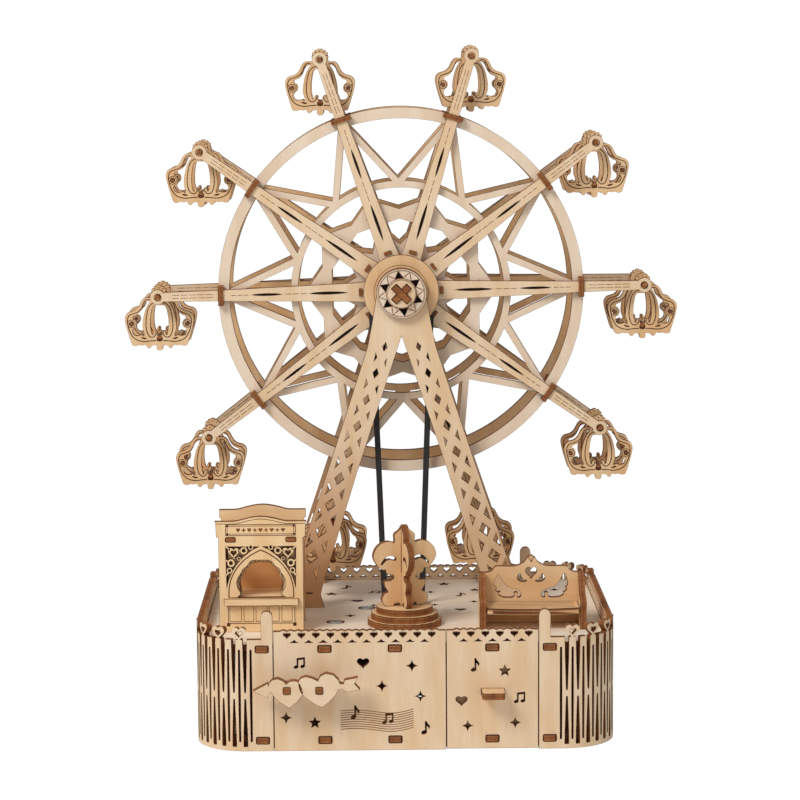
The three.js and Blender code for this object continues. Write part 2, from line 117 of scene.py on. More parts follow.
def openCurve(knots, steps=5):    # Catmull-Rom curve through open knots
    k = np.vstack([2 * knots[0] - knots[1], knots, 2 * knots[-1] - knots[-2]])
    a, b, c, d = (k[i:len(k) - 3 + i, None] for i in range(4))
    t = np.linspace(0, 1, steps, endpoint=False)[None, :, None]
    return np.vstack([splineAt(a, b, c, d, t).reshape(-1, 2), knots[-1:]])


def heart(cx, cy, width, height, count=26):    # x = sin cubed, y = sum of four cosines
    t = np.linspace(0, 2 * np.pi, count, endpoint=False)
    x = np.sin(t) ** 3
    y = (13 * np.cos(t) - 5 * np.cos(2 * t) - 2 * np.cos(3 * t) - np.cos(4 * t)) / 29 + 0.085
    return np.c_[cx + x * width / 2, cy + y * height]


def star(cx, cy, radius, tips=5, inner=0.45):    # pointed star, first tip up
    angles = np.pi / 2 + np.arange(2 * tips) * np.pi / tips
    reach = np.where(np.arange(2 * tips) % 2 == 0, radius, radius * inner)
    return np.c_[cx + reach * np.cos(angles), cy + reach * np.sin(angles)]


def sparkle(cx, cy, radius, count=24):    # four-pointed star with hollow sides
    t = np.linspace(0, 2 * np.pi, count, endpoint=False)
    swell = (np.abs(np.cos(t)) ** 0.6 + np.abs(np.sin(t)) ** 0.6) ** (-1 / 0.6)
    return np.c_[cx + radius * swell * np.cos(t), cy + radius * swell * np.sin(t)]


def eighthNote(cx, cy, height):    # slanted head, stem and flag in one outline
    head = turned(arc(0, 0, 1, 60, 350, 14) * (0.21, 0.14), 20, -0.08, -0.38)
    stem = points((0.10, -0.30), (0.10, 0.16), (0.20, 0.10), (0.27, 0.0), (0.29, -0.12), (0.36, 0.06),
                  (0.30, 0.20), (0.16, 0.34), (0.10, 0.5), (0.0, 0.5), (0.0, -0.26))
    return np.vstack([head, stem]) * height + (cx, cy)


def beamedNotes(cx, cy, height):    # two heads, two stems and the beam, as one bent outline
    left = turned(arc(0, 0, 1, 55, 350, 10) * (0.20, 0.13), 15, -0.36, -0.36)
    right = turned(arc(0, 0, 1, 125, 350, 10) * (0.20, 0.13), 15, 0.24, -0.30)
    inside = points((-0.17, -0.30), (-0.17, 0.30), (0.33, 0.36), (0.33, -0.16))
    outside = points((0.43, -0.26), (0.43, 0.52), (-0.28, 0.44), (-0.28, -0.24))
    return np.vstack([left, inside, right, outside]) * height + (cx, cy)


def leaf(x0, y0, x1, y1, width, count=8):    # pointed lens between two ends
    start, stop = points((x0, y0), (x1, y1))
    along = stop - start
    across = np.array([-along[1], along[0]]) / np.linalg.norm(along)
    t = np.linspace(0, 1, count)[:, None]
    bulge = np.sin(np.pi * t) ** 0.8 * width / 2
    up = start + along * t + across * bulge
    down = start + along * t - across * bulge
    return np.vstack([up, down[-2:0:-1]])


# Plates: outlines cut from sheet, with a scorched rim round every cut.

def signedArea(outline):
    x, y = outline[:, 0], outline[:, 1]
    return np.sum(x * np.roll(y, -1) - np.roll(x, -1) * y) / 2


def oriented(outline, counterclockwise):
    return outline if (signedArea(outline) > 0) == counterclockwise else outline[::-1]


def tidyLoop(outline):    # drops points that repeat their neighbour
    keep = np.linalg.norm(outline - np.roll(outline, 1, axis=0), axis=1) > 0.02
    return outline[keep]


def inset(outline, distance):    # moves an outline into its sheet by mitred corner normals
    edge = np.roll(outline, -1, axis=0) - outline
    normal = np.c_[edge[:, 1], -edge[:, 0]] / np.linalg.norm(edge, axis=1)[:, None]
    before = np.roll(normal, 1, axis=0)
    mitre = (normal + before) / np.maximum(1 + np.sum(normal * before, axis=1), 0.35)[:, None]
    return outline - mitre * distance


def filled(loops):
    # Triangles between an outline and its holes. The scanline filler can stumble on points in one row, so the
    # loops are tilted until the filled area is the outline less its holes.
    wanted = sum(signedArea(p) for p in loops)
    flat = np.vstack(loops)
    best, miss = None, 1e9
    for tilt in (0.0, 11.3, 37.7, 71.9, 123.1, 160.7):
        caps = np.array(tessellate_polygon([np.c_[turned(p, tilt), np.zeros(len(p))].tolist()
                                            for p in loops]), int)
        a, b, c = (flat[caps[:, i]] for i in range(3))
        turn = np.cross(b - a, c - a)
        error = abs(np.abs(turn).sum() / 2 - wanted)
        if error < miss:
            sound = np.abs(turn) > 1e-9
            best, miss = np.where((turn > 0)[:, None], caps, caps[:, ::-1])[sound], error
        if miss < 0.002 * wanted + 0.02:
            break
    if miss > 0.01 * wanted + 0.3:
        print("fill is off by", round(miss, 1), "of", round(wanted, 1))
    return best


def sheetArrays(outer, holes=(), thickness=ply, rim=0.10, halo=0.30, grain=0.0):
    # Rings of points step from the front face over a tiny chamfer and down the cut wall to the back face.
    loops = [oriented(tidyLoop(np.asarray(outer, float)), True)]
    loops += [oriented(tidyLoop(np.asarray(h, float)), False) for h in holes]
    steps = ((halo, 0, 0), (rim, 0, 1), (0, rim, 1), (0, thickness - rim, 1), (rim, thickness, 1),
             (halo, thickness, 0))
    counts = np.array([len(p) for p in loops])
    total = counts.sum()
    starts = np.r_[0, np.cumsum(counts)[:-1]]
    run = np.concatenate([np.cumsum(np.linalg.norm(p - np.roll(p, 1, axis=0), axis=1)) for p in loops])
    rings, scorch = [], []
    for distance, depth, burn in steps:
        ring = np.vstack([inset(p, distance) for p in loops])
        rings.append(np.c_[ring, np.full(total, depth)])
        scorch.append(np.full(total, float(burn)))
    index = np.arange(total)
    following = np.concatenate([s + (np.arange(c) + 1) % c for s, c in zip(starts, counts)])
    quads = [np.c_[index, following, following + total, index + total] + k * total for k in range(5)]
    slots = [np.full(total, s) for s in (0, 1, 1, 1, 0)]
    front = np.split(rings[0][:, :2], starts[1:])
    upwards = filled(front)
    tris = np.vstack([upwards[:, ::-1], upwards + 5 * total])
    verts = np.vstack(rings)
    spin = turned(verts[:, :2], grain)
    return {"verts": verts, "tris": tris, "quads": np.vstack(quads),
            "slots": np.r_[np.zeros(len(tris), int), np.concatenate(slots)], "scorch": np.concatenate(scorch),
            "flatUv": spin * 0.01, "run": np.tile(run, 6) * 0.01}


def sheetMesh(name, data, place, seed=0.0):
    # Places the arrays by a function of the whole point array, and keeps the faces pointing outwards.
    origin = place(np.zeros((1, 3)))
    axes = place(np.eye(3)) - origin
    flip = np.linalg.det(axes) < 0
    tris, quads = data["tris"], data["quads"]
    if flip:
        tris, quads = tris[:, ::-1], quads[:, ::-1]
    mesh = bpy.data.meshes.new(name)
    mesh.from_pydata((place(data["verts"]) * mm).tolist(), [], tris.tolist() + quads.tolist())
    mesh.polygons.foreach_set("material_index", data["slots"])
    corners = np.r_[tris.ravel(), quads.ravel()]
    wall = np.repeat(data["slots"], np.r_[np.full(len(tris), 3), np.full(len(quads), 4)]) == 1
    uv = data["flatUv"][corners] + (seed * 0.37, seed * 0.53)
    uv[wall] = np.c_[data["run"][corners[wall]] + seed, data["verts"][corners[wall], 2] * 0.01]
    mesh.uv_layers.new(name="sheet").data.foreach_set("uv", uv.ravel())
    mesh.attributes.new("scorch", "FLOAT", "POINT").data.foreach_set("value", data["scorch"])
    return mesh


def addPiece(name, mesh, body, finishes, replaces=None):
    for finish in finishes:
        mesh.materials.append(finish)
    mesh.polygons.foreach_set("use_smooth", np.ones(len(mesh.polygons), bool))
    mesh.set_sharp_from_angle(angle=math.radians(28))
    piece = bpy.data.objects.new(name, mesh)
    collection.objects.link(piece)
    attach(piece, body)
    if replaces:
        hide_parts(*([replaces] if isinstance(replaces, str) else replaces))
    return piece


def facingFront(y, x=0.0, z=0.0):    # plate across the front: its face at y looks towards -Y
    return lambda p: np.c_[p[:, 0] + x, p[:, 2] + y, p[:, 1] + z]


def facingUp(z, x=0.0, y=0.0):    # plate lying flat: its face at z looks up
    return lambda p: np.c_[p[:, 0] + x, p[:, 1] + y, z - p[:, 2]]


def facingLeft(x, y=0.0, z=0.0):    # plate along the side: its face at x looks towards -X
    return lambda p: np.c_[p[:, 2] + x, p[:, 0] + y, p[:, 1] + z]


pieceCount = 0


def plate(name, outer, holes, place, body, kind="birch", replaces=None, grain=90.0, thickness=ply, halo=0.30,
          rim=0.10):
    # One plywood plate: its outline and cut-outs, laid where place puts it.
    global pieceCount
    pieceCount += 1
    data = sheetArrays(outer, holes, thickness, rim, halo, grain)
    mesh = sheetMesh(name, data, place, pieceCount * 0.618 % 7)
    face, slot = stocks[kind]
    return addPiece(name, mesh, body, [face, cutEdge], replaces)


# Finishes: procedural wood and cut edges made of noise.

def newFinish(name):
    finish = bpy.data.materials.new(name)
    finish.use_nodes = True
    nodes, links = finish.node_tree.nodes, finish.node_tree.links
    return finish, nodes, links, nodes["Principled BSDF"]


def mixColour(nodes, links, factor, first, second):
    mix = nodes.new("ShaderNodeMix")
    mix.data_type = "RGBA"
    for socket, value in ((mix.inputs["Factor"], factor), (mix.inputs["A"], first),
                          (mix.inputs["B"], second)):
        if isinstance(value, (float, tuple)):
            socket.default_value = value
        else:
            links.new(value, socket)
    return mix.outputs["Result"]


def noiseOn(nodes, links, vector, scale, detail=3.0, rough=0.55):
    noise = nodes.new("ShaderNodeTexNoise")
    noise.inputs["Scale"].default_value = scale
    noise.inputs["Detail"].default_value = detail
    noise.inputs["Roughness"].default_value = rough
    links.new(vector, noise.inputs["Vector"])
    return noise.outputs["Fac"]


def between(nodes, links, value, low, high, outLow=0.0, outHigh=1.0):
    ramp = nodes.new("ShaderNodeMapRange")
    ramp.interpolation_type = "SMOOTHSTEP"
    for key, amount in (("From Min", low), ("From Max", high), ("To Min", outLow), ("To Max", outHigh)):
        ramp.inputs[key].default_value = amount
    links.new(value, ramp.inputs["Value"])
    return ramp.outputs["Result"]


def stretched(nodes, links, vector, scale):
    mapping = nodes.new("ShaderNodeMapping")
    mapping.inputs["Scale"].default_value = scale
    links.new(vector, mapping.inputs["Vector"])
    return mapping.outputs["Vector"]


def woodFace(name, tones, shade=None):
    # Rotary-cut veneer: broad cloudy bands, fine streaks along the grain, short pores, browned cut rims.
    finish, nodes, links, shader = newFinish(name)
    uv = nodes.new("ShaderNodeUVMap")
    uv.uv_map = "sheet"
    sheet = uv.outputs["UV"]
    clouds = noiseOn(nodes, links, stretched(nodes, links, sheet, (1.1, 5.0, 1)), 1.6, 3.0)
    streaks = noiseOn(nodes, links, stretched(nodes, links, sheet, (4.0, 90.0, 1)), 1.7, 4.0, 0.65)
    pores = noiseOn(nodes, links, stretched(nodes, links, sheet, (26.0, 330.0, 1)), 1.5, 2.0)
    base = mixColour(nodes, links, between(nodes, links, clouds, 0.32, 0.68), tones["pale"], tones["warm"])
    base = mixColour(nodes, links, between(nodes, links, streaks, 0.42, 0.78, 0.0, 0.36), base,
                     tones["streak"])
    base = mixColour(nodes, links, between(nodes, links, pores, 0.64, 0.78, 0.0, 0.32), base, tones["pore"])
    burn = nodes.new("ShaderNodeAttribute")
    burn.attribute_name = "scorch"
    blotch = noiseOn(nodes, links, sheet, 9.0, 2.0)
    reach = nodes.new("ShaderNodeMath")
    reach.operation = "MULTIPLY"
    links.new(between(nodes, links, burn.outputs["Fac"], 0.15, 1.0), reach.inputs[0])
    links.new(between(nodes, links, blotch, 0.3, 0.75, 0.45, 1.0), reach.inputs[1])
    colour = mixColour(nodes, links, reach.outputs[0], base, tones["burn"])
    if shade:    # painted shadow: a piece that is browner towards its foot, between two heights in metres, and less so on the +X side
        place = nodes.new("ShaderNodeTexCoord")
        height = nodes.new("ShaderNodeSeparateXYZ")
        links.new(place.outputs["Object"], height.inputs[0])
        footShadow = between(nodes, links, height.outputs["Z"], shade["foot"], shade["top"], shade["amount"], 0.0)
        share = nodes.new("ShaderNodeMath")
        share.operation = "MULTIPLY"
        links.new(footShadow, share.inputs[0])
        links.new(between(nodes, links, height.outputs["X"], -0.02, 0.02, 1.0, shade["right"]),
                  share.inputs[1])
        colour = mixColour(nodes, links, share.outputs[0], colour, shade["tone"])
    links.new(colour, shader.inputs["Base Color"])
    links.new(between(nodes, links, streaks, 0.3, 0.8, 0.62, 0.5), shader.inputs["Roughness"])
    shader.inputs["Specular IOR Level"].default_value = 0.35
    bump = nodes.new("ShaderNodeBump")
    bump.inputs["Strength"].default_value = 0.12
    bump.inputs["Distance"].default_value = 0.0002
    links.new(streaks, bump.inputs["Height"])
    links.new(bump.outputs["Normal"], shader.inputs["Normal"])
    return finish


def woodEdge(name, tones):
    # Laser-cut wall: three plies as bands across the thickness, dark streaks along the cut and
    # charred corners.
    finish, nodes, links, shader = newFinish(name)
    uv = nodes.new("ShaderNodeUVMap")
    uv.uv_map = "sheet"
    split = nodes.new("ShaderNodeSeparateXYZ")
    links.new(uv.outputs["UV"], split.inputs[0])
    depth = split.outputs["Y"]
    streaks = noiseOn(nodes, links, stretched(nodes, links, uv.outputs["UV"], (60.0, 5.0, 1)), 2.2, 4.0, 0.7)
    broad = noiseOn(nodes, links, stretched(nodes, links, uv.outputs["UV"], (5.0, 2.0, 1)), 1.3, 2.0)
    base = mixColour(nodes, links, between(nodes, links, streaks, 0.3, 0.72), tones["light"], tones["brown"])
    base = mixColour(nodes, links, between(nodes, links, broad, 0.4, 0.75, 0.0, 0.7), base, tones["dark"])
    middle = nodes.new("ShaderNodeMath")
    middle.operation = "COMPARE"
    middle.inputs[1].default_value = 0.015
    middle.inputs[2].default_value = 0.0055
    links.new(depth, middle.inputs[0])
    core = nodes.new("ShaderNodeMath")
    core.operation = "MULTIPLY"
    core.inputs[1].default_value = 0.4
    links.new(middle.outputs[0], core.inputs[0])
    base = mixColour(nodes, links, core.outputs[0], base, tones["dark"])
    corner = between(nodes, links, depth, 0.001, 0.0045, 1.0, 0.0)
    colour = mixColour(nodes, links, corner, base, tones["charAndShadow"])
    links.new(colour, shader.inputs["Base Color"])
    shader.inputs["Roughness"].default_value = 0.6
    shader.inputs["Specular IOR Level"].default_value = 0.3
    bump = nodes.new("ShaderNodeBump")
    bump.inputs["Strength"].default_value = 0.2
    bump.inputs["Distance"].default_value = 0.0003
    links.new(streaks, bump.inputs["Height"])
    links.new(bump.outputs["Normal"], shader.inputs["Normal"])
    return finish


def rgb(red, green, blue):    # screen colour 0 to 255 to linear
    value = np.array((red, green, blue)) / 255
    linear = np.where(value <= 0.04045, value / 12.92, ((value + 0.055) / 1.055) ** 2.4)
    return (*linear.tolist(), 1.0)


birchTones = {"pale": rgb(232, 207, 176), "warm": rgb(223, 189, 149), "streak": rgb(208, 178, 138),
              "pore": rgb(190, 152, 108), "burn": rgb(104, 56, 24)}
birchFace = woodFace("birch face", birchTones)
# leg finish with a painted shadow: browner towards the foot, mostly on the left legs that the booth shades
legShadowFace = woodFace("leg birch face with painted shadow", birchTones, {"foot": 0.062, "top": 0.15, "amount": 0.72,
                                                  "right": 0.35, "tone": rgb(186, 126, 72)})
paleFace = woodFace("pale birch face", {"pale": rgb(231, 211, 188), "warm": rgb(224, 198, 170),
                                      "streak": rgb(212, 188, 156), "pore": rgb(194, 163, 126),
                                      "burn": rgb(104, 56, 24)})
basswoodFace = woodFace("basswood face", {"pale": rgb(229, 194, 150), "warm": rgb(217, 172, 122),
                                          "streak": rgb(203, 158, 110), "pore": rgb(183, 134, 90),
                                          "burn": rgb(100, 52, 22)})
cutEdge = woodEdge("scorched cut edge", {"light": rgb(172, 110, 60), "brown": rgb(130, 72, 33),
                                         "dark": rgb(84, 42, 17), "charAndShadow": rgb(40, 20, 10)})
engraving = woodEdge("engraved line", {"light": rgb(150, 92, 46), "brown": rgb(112, 62, 28),
                                       "dark": rgb(84, 44, 20), "charAndShadow": rgb(70, 36, 16)})
# near-black finish for painted shadow in the arm slots and behind the hub cap's triangles
charAndShadow = woodEdge("painted slot shadow", {"light": rgb(52, 30, 18), "brown": rgb(38, 21, 13), "dark": rgb(26, 14, 9),
                                "charAndShadow": rgb(18, 10, 7)})
# painted light: the deck's birch is paler to make up for the shade the wheel casts on it
deckLitFace = woodFace("deck birch face with painted light", {"pale": rgb(247, 233, 213), "warm": rgb(240, 220, 194),
                                           "streak": rgb(228, 206, 178), "pore": rgb(205, 176, 142),
                                           "burn": rgb(104, 56, 24)})
goldenFace = woodFace("golden basswood face", {"pale": rgb(242, 210, 164), "warm": rgb(232, 190, 138),
                                              "streak": rgb(218, 174, 122), "pore": rgb(196, 148, 100),
                                              "burn": rgb(100, 52, 22)})
# painted shade: a darker, oranger basswood for the shaded inside of the booth
boothShadeFace = woodFace("booth inside face with painted shade", {"pale": rgb(238, 180, 118), "warm": rgb(226, 162, 98),
                                            "streak": rgb(210, 146, 84), "pore": rgb(186, 122, 66),
                                            "burn": rgb(104, 54, 22)})
sootMark = woodEdge("deep burnt line", {"light": rgb(104, 58, 28), "brown": rgb(80, 42, 19),
                                        "dark": rgb(60, 30, 13),
                                       "charAndShadow": rgb(50, 25, 12)})
stocks = {"birch": (birchFace, "birch_ply"), "leg": (legShadowFace, "birch_ply"), "pale": (paleFace, "birch_ply"),
          "deck": (deckLitFace, "birch_ply"),
          "golden": (goldenFace, "basswood_ply"), "booth_shade": (boothShadeFace, "basswood_ply"),
          "basswood": (basswoodFace, "basswood_ply"), "scorched": (cutEdge, "scorched_ply"),
          "charred": (engraving, "scorched_ply")}
print("finishes ready")


def joinedData(parts):    # several sheets' arrays as one set, triangles first and then quads
    shift = np.cumsum([0] + [len(d["verts"]) for d in parts[:-1]])
    triCounts = [len(d["tris"]) for d in parts]
    return {"verts": np.vstack([d["verts"] for d in parts]),
            "tris": np.vstack([d["tris"] + s for d, s in zip(parts, shift)]),
            "quads": np.vstack([d["quads"] + s for d, s in zip(parts, shift)]),
            "slots": np.concatenate([d["slots"][:n] for d, n in zip(parts, triCounts)]
                                    + [d["slots"][n:] for d, n in zip(parts, triCounts)]),
            "scorch": np.concatenate([d["scorch"] for d in parts]),
            "flatUv": np.vstack([d["flatUv"] for d in parts]),
            "run": np.concatenate([d["run"] for d in parts])}


def engrave(name, outlines, place, body, lift=0.06, mark=engraving):
    # Burnt lines: closed ribbons that stand a hair proud of the face they mark.
    data = joinedData([sheetArrays(o, h, lift * 2, 0.01, 0.03) for o, h in outlines])
    return addPiece(name, sheetMesh(name, data, place, 0.3), body, [mark, mark])


def ribbon(path, width):    # outline of a line of that width along an open path
    step = np.gradient(path, axis=0)
    across = np.c_[-step[:, 1], step[:, 0]] / np.linalg.norm(step, axis=1)[:, None] * width / 2
    return np.vstack([path + across, (path - across)[::-1]])


def barePlate(name, sheets, place, body, finish, thickness, replaces=None, rim=0.12):
    mesh = sheetMesh(name, joinedData([sheetArrays(o, h, thickness, rim, rim * 2.5) for o, h in sheets]),
                     place, 0.1)
    return addPiece(name, mesh, body, [finish, finish], replaces)


# Base box: the front, drawer front and back panels.

base = {"fenceTop": 56.2, "scallopPitch": 3.29, "scallopRise": 0.55, "heartPitch": 6.58, "heartZ": 53.8,
        "peakZ": 50.9, "tab": (5.8, 3.0), "tabSlot": 0.25, "cornerRadius": 24.0, "slatPitch": 5.2}
floorLow, floorHigh = boxOf("base_floor")
deckLow, deckHigh = boxOf("deck_plate")
panelLow, panelHigh = boxOf("front_panel")
drawerLow, drawerHigh = boxOf("drawer_front")
backLow, backHigh = boxOf("back_panel")
wallLow, wallHigh = boxOf("right_wall")
deckTop = deckHigh[2]
tabCentres = (-65.5, -37.0, -5.0, 39.3, 65.5)


def fenceLine(x0, x1, top):    # scalloped top edge from x1 back to x0, flat for a little at both ends
    x = np.linspace(x1 - 3, x0 + 3, int((x1 - x0) / 0.32))
    wave = np.abs(np.sin(np.pi * (x - x0 - 3) / base["scallopPitch"]))
    crest = np.c_[x, top - base["scallopRise"] + base["scallopRise"] * wave]
    return np.vstack([(x1, top - base["scallopRise"]), crest, (x0, top - base["scallopRise"])])


def fenceHoles(first, last):    # a row of hearts with a low peak between each two
    hearts = np.arange(first, last + 0.1, base["heartPitch"])
    holes = [heart(x, base["heartZ"], 3.4, 2.7, 18) for x in hearts]
    peak = points((-2.1, -0.55), (2.1, -0.55), (1.2, -0.2), (0.5, 0.25), (0, 0.75), (-0.5, 0.25),
                  (-1.2, -0.2))
    return holes + [peak + (x, base["peakZ"]) for x in hearts[:-1] + base["heartPitch"] / 2]


def tabSlots(x0, x1):    # the slots of deck and floor tabs between two seams
    w, h = base["tab"][0] / 2 + base["tabSlot"], base["tab"][1] / 2 + base["tabSlot"]
    rows = (deckTop - ply / 2, floorHigh[2] - ply / 2)
    return [slab(x - w, z - h, x + w, z + h, 0.8) for x in tabCentres if x0 < x < x1 for z in rows]


def panelOutline(x0, x1, bottom, top):
    return np.vstack([points((x0, bottom), (x1, bottom)), fenceLine(x0, x1, top)])


frontCuts = [beamedNotes(-48.2, 41, 5.0), heart(-19.5, 40.6, 5.5, 4.6), sparkle(2.7, 39.3, 2.5),
             sparkle(-11, 30, 2.5), sparkle(6.5, 25.1, 2.4), sparkle(-54.8, 15.6, 2.5),
             star(-41.7, 13.1, 2.7),
             eighthNote(8.6, 10.4, 5.8), eighthNote(-23.6, 17.9, 6.0), beamedNotes(-8.1, 14.9, 5.0)]
leverNode = boxOf("heart_arrow_lever")
pegX = (-54.0, -39.3)
leverZ = (leverNode[0][2] + leverNode[1][2]) / 2 - 0.2    # the arrow reaches 0.4 further up than down
leverSlots = [slab(x - 2.3, leverZ - 2, x + 8.3, leverZ + 2, 0.6) for x in pegX]
plate("front_panel_sheet", panelOutline(panelLow[0], panelHigh[0], 0, base["fenceTop"]),
      fenceHoles(-54, 12) + tabSlots(panelLow[0], panelHigh[0]) + frontCuts + leverSlots,
      facingFront(panelLow[1]), "base", replaces="front_panel")


def staveLines():    # nine wavy lines, left to right, that rise, dip and rise again
    x = np.linspace(-30, 3.3, 40)
    t = (x - x[0]) / (x[-1] - x[0])
    wave = 18.0 + 0.9 * np.sin(t * 5.2 + 0.6) + 3.0 * np.clip(t - 0.62, 0, 1) ** 1.6 * 2.6
    return [ribbon(np.c_[x, wave - k * 1.07], 0.34) for k in range(9)]


engrave("front_panel_stave", [(line, ()) for line in staveLines()], facingFront(panelLow[1] - 0.05), "base")

drawerCuts = [eighthNote(31.3, 39.5, 5.8), star(45, 36.6, 2.7), heart(25.2, 22.6, 5.3, 4.4),
              beamedNotes(52, 24, 5.0), sparkle(28, 11.1, 2.4), sparkle(49.7, 12.4, 2.4)]
pullLow, pullHigh = 34.3, 44.7
plate("drawer_front_sheet", panelOutline(drawerLow[0], drawerHigh[0], drawerLow[2], base["fenceTop"]),
      fenceHoles(23, 56) + tabSlots(drawerLow[0], drawerHigh[0]) + drawerCuts
      + [slab(pullLow - 0.1, 25.3, pullHigh + 0.1, 28.5, 0.3)],
      facingFront(panelLow[1]), "drawer", replaces="drawer_front")
pullShape = np.vstack([points((pullLow, panelLow[1] + 4), (pullLow, drawerLow[1] + 1),
                              (pullLow + 1, drawerLow[1])),
                       points((38.9, drawerLow[1]), (39.2, drawerLow[1] + 0.5), (39.8, drawerLow[1] + 0.5),
                              (40.1, drawerLow[1]), (pullHigh - 1, drawerLow[1]),
                              (pullHigh, drawerLow[1] + 1),
                              (pullHigh, panelLow[1] + 4))])
plate("drawer_pull", pullShape, [], facingUp(28.4), "drawer", kind="basswood")

backCuts = [beamedNotes(-48, 36, 6), heart(0, 38, 8, 6.6), eighthNote(46, 36, 7), star(-28, 40, 3.2),
            star(28, 40, 3.2), sparkle(14, 26, 3), sparkle(-46, 16, 3), sparkle(36, 16, 3),
            heart(10, 12, 5.5, 4.6), star(52, 22, 2.7)]
keyAt = np.array(joints["key_turn"]["pos_m"]) / mm
backCuts.append(circle(keyAt[0], keyAt[2], 2.7, 20))
plate("back_panel_sheet", panelOutline(backLow[0], backHigh[0], 0, base["fenceTop"]),
      fenceHoles(-56, 56) + tabSlots(backLow[0], backHigh[0]) + backCuts,
      facingFront(backLow[1]), "base", replaces="back_panel")
print("panels cut")

# Side walls: each is cut as one flat sheet and then bent round two corners.

cornerRadius = base["cornerRadius"]
flatRun = wallHigh[0] - cornerRadius - wallLow[0]      # from the seam to the start of the corner
arcRun = cornerRadius * math.pi / 2
sideRun = wallHigh[1] - wallLow[1] - 2 * cornerRadius
wallRun = 2 * flatRun + 2 * arcRun + sideRun


def bend(side):    # maps run along the sheet, height and depth to the wrapped wall, on the +X or -X side
    def place(p):
        u = p[:, 0]
        depth = p[:, 2]
        cx, cy = wallHigh[0] - cornerRadius, wallHigh[1] - cornerRadius
        first = np.clip((u - flatRun) / arcRun, 0, 1) * np.pi / 2
        second = np.clip((u - flatRun - arcRun - sideRun) / arcRun, 0, 1) * np.pi / 2
        angle = -np.pi / 2 + first + second
        along = np.clip(u - flatRun - arcRun, 0, sideRun)
        beyond = np.minimum(u - flatRun, 0) + np.minimum(wallRun - flatRun - u, 0)
        x = cx + beyond + (cornerRadius - depth) * np.cos(angle)
        y = -cy + along + (cornerRadius - depth) * np.sin(angle)
        return np.c_[side * x, y, p[:, 1]]
    return place


def wallOutline():    # one sheet: finger at each seam, hearts on every other slat, fence along the side
    pitch = base["slatPitch"]
    gaps = flatRun + 0.8 + pitch * np.arange(8)
    low = 52.0
    top = [points((0, 0), (0, 62.5)), arc(2.65, 62.5, 2.6, 180, 0, 10), points((5.3, 62.5), (5.3, low))]
    heartShape = heart(0, 0, 6.4, 5.8, 24)
    for i, gap in enumerate(gaps):
        depthTop = 27.4
        slot = np.array([(gap - 1.0, low), (gap - 0.85, low - 9), (gap - 0.36, depthTop + 0.8),
                         (gap - 0.26, depthTop),
                         (gap + 0.26, depthTop), (gap + 0.36, depthTop + 0.8), (gap + 0.85, low - 9),
                         (gap + 1.0, low)])
        top.append(slot)
        if i % 2 == 0 and i < 7:
            shifted = heartShape + (gap + pitch / 2, 54.6)
            order = np.roll(shifted, -12, axis=0)[::-1]
            keep = order[(order[:, 1] > low + 0.15)]
            top.append(points((gap + pitch / 2 - 1.5, low), ))
            start = np.argmin(keep[:, 0] + 0.5 * keep[:, 1])
            top.append(keep)
            top.append(points((gap + pitch / 2 + 1.5, low), ))
    left = np.vstack(top)
    x0, x1 = gaps[-1] + 3.4, wallRun - gaps[-1] - 3.4
    fence = fenceLine(x0, x1, base["fenceTop"] + 0.2)[::-1]
    right = (left * (-1, 1) + (wallRun, 0))[::-1]
    return np.vstack([left, points((x0, low)), fence, points((x1, low)), right]), gaps, (x0, x1)


def wallHoles(gaps, fence):
    pitch = base["slatPitch"]
    holes = []
    slits = np.r_[gaps[0] - 2.7, gaps[:-1] + pitch / 2]
    for x in slits:
        holes.append(rounded(points((x - 0.42, 4.4), (x + 0.42, 4.4), (x + 0.5, 26), (x + 0.42, 47.4),
                                    (x - 0.42, 47.4), (x - 0.5, 26)), 0.3, 2))
    for gap in gaps:
        holes.append(points((gap - 0.26, 24.4), (gap - 0.36, 23.6), (gap - 0.9, 8), (gap - 0.98, 2.4),
                            (gap - 0.7, 2.1),
                            (gap + 0.7, 2.1), (gap + 0.98, 2.4), (gap + 0.9, 8), (gap + 0.36, 23.6),
                            (gap + 0.26, 24.4)))
    for i in range(0, 7, 2):
        holes.append(heart(gaps[i] + pitch / 2, 54.5, 3.4, 2.9, 18))
    holes += [h * (-1, 1) + (wallRun, 0) for h in holes[1:]]
    w, h = base["tab"][0] / 2 + base["tabSlot"], base["tab"][1] / 2 + base["tabSlot"]
    tabU = tabCentres[-1] - wallLow[0]
    for u in (tabU, wallRun - tabU):
        for z in (deckTop - ply / 2, floorHigh[2] - ply / 2):
            holes.append(slab(u - w, z - h, u + w, z + h, 0.8))
    span = fence[1] - fence[0]
    count = int((span - 8) // base["heartPitch"])
    first = fence[0] + (span - count * base["heartPitch"]) / 2
    holes += fenceHoles(first, first + count * base["heartPitch"])
    middle = wallRun / 2
    holes += [heart(middle, 32, 12, 10), star(middle - 24, 36, 4), star(middle + 24, 36, 4),
              eighthNote(middle - 36, 22, 9), beamedNotes(middle + 36, 22, 8), sparkle(middle - 12, 20, 3.4),
              sparkle(middle + 12, 20, 3.4), sparkle(middle - 40, 40, 2.8), sparkle(middle + 40, 40, 2.8),
              heart(middle - 24, 14, 6, 5), heart(middle + 24, 14, 6, 5), sparkle(middle, 12, 2.8)]
    return holes


